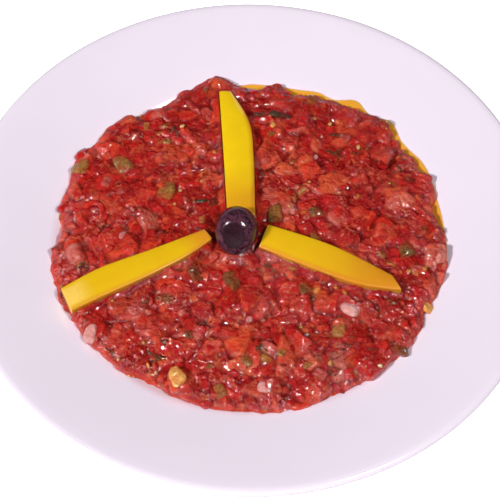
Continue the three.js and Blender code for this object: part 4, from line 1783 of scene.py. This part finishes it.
@dataclass
class PepperStrip:
    """A strip of yellow pepper laid along the heap."""

    form: StripForm
    heap: HeapForm
    stations: int = 72
    edge_round: float = 0.45

    def _section(self) -> Array:
        """Share of the width and of the thickness, and whether it is skin, round the strip's section."""
        skin_across = np.linspace(0.045, 0.955, 15)
        rows = [(0.0, 0.5, 1), (0.0, 0.8, 1), (0.004, 0.92, 1), (0.018, 0.985, 1)]
        rows += [(a, 1.0, 1) for a in skin_across]
        rows += [(0.982, 0.985, 1), (0.996, 0.92, 1), (1.0, 0.8, 1), (1.0, 0.5, 1), (0.992, 0.14, 0)]
        rows += [(0.96, 0.01, 0), (0.85, 0.03, 0), (0.5, 0.06, 0), (0.15, 0.03, 0), (0.04, 0.01, 0)]
        rows += [(0.008, 0.14, 0)]
        return np.array(rows)

    def build(self) -> None:
        """Makes the strip with rounded ends and keeps where its skin is."""
        section = self._section()
        left = curve_through(self.form.left, self.stations)
        right = curve_through(self.form.right, self.stations)
        along = np.linspace(0, 1, self.stations)
        across, up, peel = section.T
        rings, peels, orange_shades = [], [], []
        for a, b, share in zip(left, right, along):
            flat = a + (b - a) * across[:, None]
            crown = self.form.crown * (1 - (2 * across - 1) ** 2) * up
            wave = 0.12 * math.sin(share * 9 + self.form.left[0][0]) * up
            z = self.heap.top(flat[:, 0], flat[:, 1]) + GAP * 0.5 + self.form.thickness * up + crown + wave
            rings.append(np.concatenate([flat, z[:, None]], 1))
            # Painted sheen: pale flesh colour across the tip, with real pale flesh along one edge.
            tip = self.form.painted_sheen_tip * smoothstep(0.8, 0.95, share)
            edge = self.form.pale_edge * smoothstep(0.74, 0.86, share)
            pale = tip * smoothstep(0.9, 0.5, np.abs(2 * across - 1))
            pale = np.maximum(pale, edge * smoothstep(0.76, 0.86, across))
            peels.append(peel * (1 - pale))
            # Painted shade: deeper orange towards the olive, the tip and the edge where the section curves
            # down.
            orange_shades.append(self._orange_shade(share) + 0.75 * smoothstep(0.8, 1.0, across))
        rings, peels, orange_shades = self._with_ends(rings, peels, orange_shades)
        finish = PepperFinish(self.form.skin)
        made = make_object(self.form.name + "_flesh", *skin(rings), finish.material(self.form.name))
        keep_number(made, "peel", np.concatenate(peels))
        keep_number(made, "warmth", np.concatenate(orange_shades))
        settle(made, [self.form.name])

    def _with_ends(
        self, rings: list[Array], peels: list[Array], shares: list[Array]
    ) -> tuple[list, list, list]:
        """Rounds the cut ends and closes them with a few shrinking rings of bare flesh."""
        for end in (0, -1):
            ring = rings[end]
            inward = rings[1] - rings[0] if end == 0 else rings[-2] - rings[-1]
            inward = inward / np.linalg.norm(inward, axis=1)[:, None]
            middle = ring.mean(0)
            toward = middle - ring
            toward = toward / np.maximum(np.linalg.norm(toward, axis=1), 1e-6)[:, None]
            caps = [ring + toward * self.edge_round * 0.35]
            rings[end] = ring + inward * self.edge_round * 0.7
            caps += [middle + (caps[0] - middle) * s for s in (0.8, 0.5, 0.2)]
            blank = np.zeros(len(ring))
            extra = [blank] * len(caps) + [np.zeros(1)]
            place = [np.full(len(ring), shares[end][0])] * len(caps) + [shares[end][:1]]
            caps.append(middle[None])
            if end == 0:
                rings, peels, shares = caps[::-1] + rings, extra[::-1] + peels, place[::-1] + shares
            else:
                rings, peels, shares = rings + caps, peels + extra, shares + place
        return rings, peels, shares

    def _orange_shade(self, share: float) -> float:
        """How orange the skin is along the strip; the part near the olive and towards the tip is painted
        shade.
        """
        near, near_end = self.form.orange_shade_near
        far, far_start = self.form.orange_shade_far
        fading = near * (1 - smoothstep(0.0, near_end, share))
        return float(self.form.orange + fading + far * smoothstep(far_start, 1.0, share))


@dataclass(frozen=True)
class OliveFinish:
    """Smooth wet skin of a black olive, with a duller cut at the end and painted shade towards its bottom."""

    skin: Colour = (84, 44, 60)
    cut: Colour = (38, 15, 24)
    # Darkest skin, used for the random mottle and for the painted shade on the lower part.
    under: Colour = (28, 14, 20)
    roughness: float = 0.12

    def material(self) -> bpy.types.Material:
        """Builds the material. It reads dish, which is 1 in the dished end."""
        shader = Shader("black_olive")
        dish = shader.attribute("dish")
        mottled = shader.noise(1.6, 4, 0.5).ramp(0.35, 0.7)
        body = shader.mix(mottled, rgba(self.skin), rgba(self.under))
        # Painted shade: the skin darkens towards the bottom, where the olive sits low in the ezme.
        low = shader.height().ramp(29, 21)
        body = shader.mix(low * 0.9, body, rgba(self.under))
        pores = shader.cells(0.9).ramp(0.0, 0.35)
        relief = pores * 0.25 + shader.noise(2.4, 3) * 0.8
        return shader.surface(
            {
                "Base Color": shader.mix(dish * 0.85, body, rgba(self.cut)),
                "Roughness": self.roughness + 0.06 * mottled,
                "Normal": shader.bump(relief, 0.1),
            },
            {"Roughness": 0.6, "Specular IOR Level": 0.12},
            dish,
        )


@dataclass
class Olive:
    """The olive, its dished end towards the diner."""

    form: OliveForm
    finish: OliveFinish = field(default_factory=OliveFinish)
    segments: int = 96
    cut_angle: float = 0.53

    def _shell(self, angle: float) -> tuple[float, float, float]:
        """A point of the skin's profile, which is blunter than an ellipse towards the dished end."""
        form = self.form
        power = 2 + form.bluntness * float(smoothstep(-0.3, 0.7, math.sin(angle)))
        cos, sin = math.cos(angle), math.sin(angle)
        size = (abs(cos) ** power + abs(sin) ** power) ** (-1 / power)
        return form.radius * cos * size, form.half_length * sin * size, 0

    def _profile(self) -> Array:
        """Radius, height along the axis and dish share from the far end to the middle of the dish."""
        form = self.form
        angles = np.linspace(-math.pi / 2, math.pi / 2 - self.cut_angle, 46)
        shell = [self._shell(a) for a in angles]
        shell[0] = (0.0, -form.half_length, 0)
        rim = shell[-1][1]
        dish = [
            (shell[-1][0] * share, rim - form.dish_depth * smoothstep(0.0, 1.0, 1 - share), 1)
            for share in (0.97, 0.92, 0.84, 0.74, 0.62, 0.5, 0.38, 0.25, 0.12)
        ]
        return np.array([*shell, *dish, (0.0, rim - form.dish_depth, 1)], float)

    def build(self) -> None:
        """Makes the olive, lays it in its seat and keeps where the dish is."""
        profile = self._profile()
        rings = turned(profile[:, :2], self.segments)
        marks = np.concatenate([np.full(len(ring), mark) for ring, mark in zip(rings, profile[:, 2])])
        points, faces = skin(rings)
        bearing = np.arctan2(points[:, 1], points[:, 0])
        radius = np.hypot(points[:, 0], points[:, 1])
        uneven = 0.12 * np.sin(3 * bearing + 0.6) + 0.1 * np.sin(2 * bearing + points[:, 2] * 0.2)
        points[:, :2] *= (1 + uneven * smoothstep(2, 9, radius) / self.form.radius)[:, None]
        crease = np.exp(-((points[:, 0] * 0.6 + points[:, 1] * 0.8 + 0.6) / 0.35) ** 2)
        crease = crease * (1 - smoothstep(2.0, 3.4, radius)) * marks
        points[:, 2] -= 0.45 * crease
        ahead = Vector(self.form.axis).normalized()
        across = Vector((1, 0, 0)) - ahead * ahead.x
        across.normalize()
        turn = np.array([across * self.form.squeeze, ahead.cross(across) * self.form.swell, ahead])
        points = points @ turn + np.array(self.form.middle)
        made = make_object("olive_skin", points, faces, self.finish.material())
        keep_number(made, "dish", marks)
        settle(made, ["olive"])


@dataclass(frozen=True)
class Softbox:
    """A soft lamp that faces the plate."""

    name: str
    direction: tuple[float, float, float]
    distance: float
    depth: float
    breadth: float
    power: float

    def build(self, target: Vector) -> None:
        """Hangs the lamp in its direction from the target, in metres."""
        data = bpy.data.lights.new(self.name, "AREA")
        data.shape = "RECTANGLE"
        data.size = self.depth
        data.size_y = self.breadth
        data.energy = self.power
        lamp = bpy.data.objects.new(self.name, data)
        away = Vector(self.direction).normalized()
        lamp.location = target + away * self.distance
        lamp.rotation_euler = away.to_track_quat("Z", "Y").to_euler()
        bpy.context.scene.collection.objects.link(lamp)


@dataclass
class Studio:
    """A white floor, soft lamps and the camera."""

    elevation: float = math.radians(57.16)
    roll: float = math.radians(-1.15)
    distance: float = 0.7
    focal_pixels: float = 1597.8
    image_width: float = 500.0
    sensor: float = 36.0
    target: tuple[float, float, float] = (-0.0001, -0.01446, 0.026)
    lamps: tuple[Softbox, ...] = (
        Softbox("left_softbox", (-0.62, -0.40, 0.70), 1.5, 0.2, 0.14, 22.3),
        Softbox("right_softbox", (0.41, -0.37, 0.83), 1.5, 0.19, 0.14, 12.7),
    )
    ambient: float = 0.04

    def build(self) -> None:
        """Sets the floor, the lamps, the world and the camera."""
        self._floor()
        for lamp in self.lamps:
            lamp.build(Vector(self.target))
        world = bpy.data.worlds.new("studio_white")
        world.use_nodes = True
        graph = Graph(world.node_tree)
        world.node_tree.nodes.clear()
        sky = graph.node("ShaderNodeBackground", None, {0: (1.0, 0.985, 1.0, 1), 1: self.ambient})
        graph.node("ShaderNodeOutputWorld", None, {0: sky.outputs[0]})
        bpy.context.scene.world = world
        bpy.context.scene.view_settings.view_transform = "Standard"
        self._camera()

    def _floor(self) -> None:
        """Lays the floor just under the plate's foot."""
        half, z = 3000.0, -0.05
        corners = np.array([(-half, -half, z), (half, -half, z), (half, half, z), (-half, half, z)])
        shader = Shader("white_floor")
        mottle = shader.mix(shader.noise(400, 2), (1, 1, 1, 1), (0.985, 0.985, 0.985, 1))
        material = shader.surface(
            {
                "Base Color": mottle,
                "Roughness": 0.9,
                "Specular IOR Level": 0.1,
                "Emission Color": (1, 1, 1, 1),
                "Emission Strength": 0.6,
            }
        )
        floor = make_object("studio_floor", corners, [(0, 1, 2, 3)], material)
        floor.visible_glossy = False

    def _camera(self) -> None:
        """Places the camera, turned a little about its axis."""
        back = Vector((0, -math.cos(self.elevation), math.sin(self.elevation)))
        right = Vector((1, 0, 0))
        up = Vector((0, math.sin(self.elevation), math.cos(self.elevation)))
        cos, sin = math.cos(self.roll), math.sin(self.roll)
        across, upright = cos * right - sin * up, sin * right + cos * up
        turn = Matrix((across, upright, back)).transposed().to_4x4()
        data = bpy.data.cameras.new("camera")
        data.sensor_width = self.sensor
        data.lens = self.focal_pixels * self.sensor / self.image_width
        camera = bpy.data.objects.new("camera", data)
        camera.matrix_world = Matrix.Translation(Vector(self.target) + back * self.distance) @ turn
        bpy.context.scene.collection.objects.link(camera)
        bpy.context.scene.camera = camera


def main() -> None:
    """Builds the studio and the plate of ezme."""
    logging.basicConfig(level=logging.INFO, format="%(name)s %(message)s")
    Studio().build()
    plate_form, heap_form, toppings = PlateForm(), HeapForm(), Toppings()
    Plate(plate_form).build()
    Ezme(heap_form, plate_form, toppings).build()
    JuiceFilm(heap_form, plate_form).build()
    for strip in toppings.strips:
        PepperStrip(strip, heap_form).build()
    Olive(toppings.olive).build()


if __name__ == "__main__":
    main()
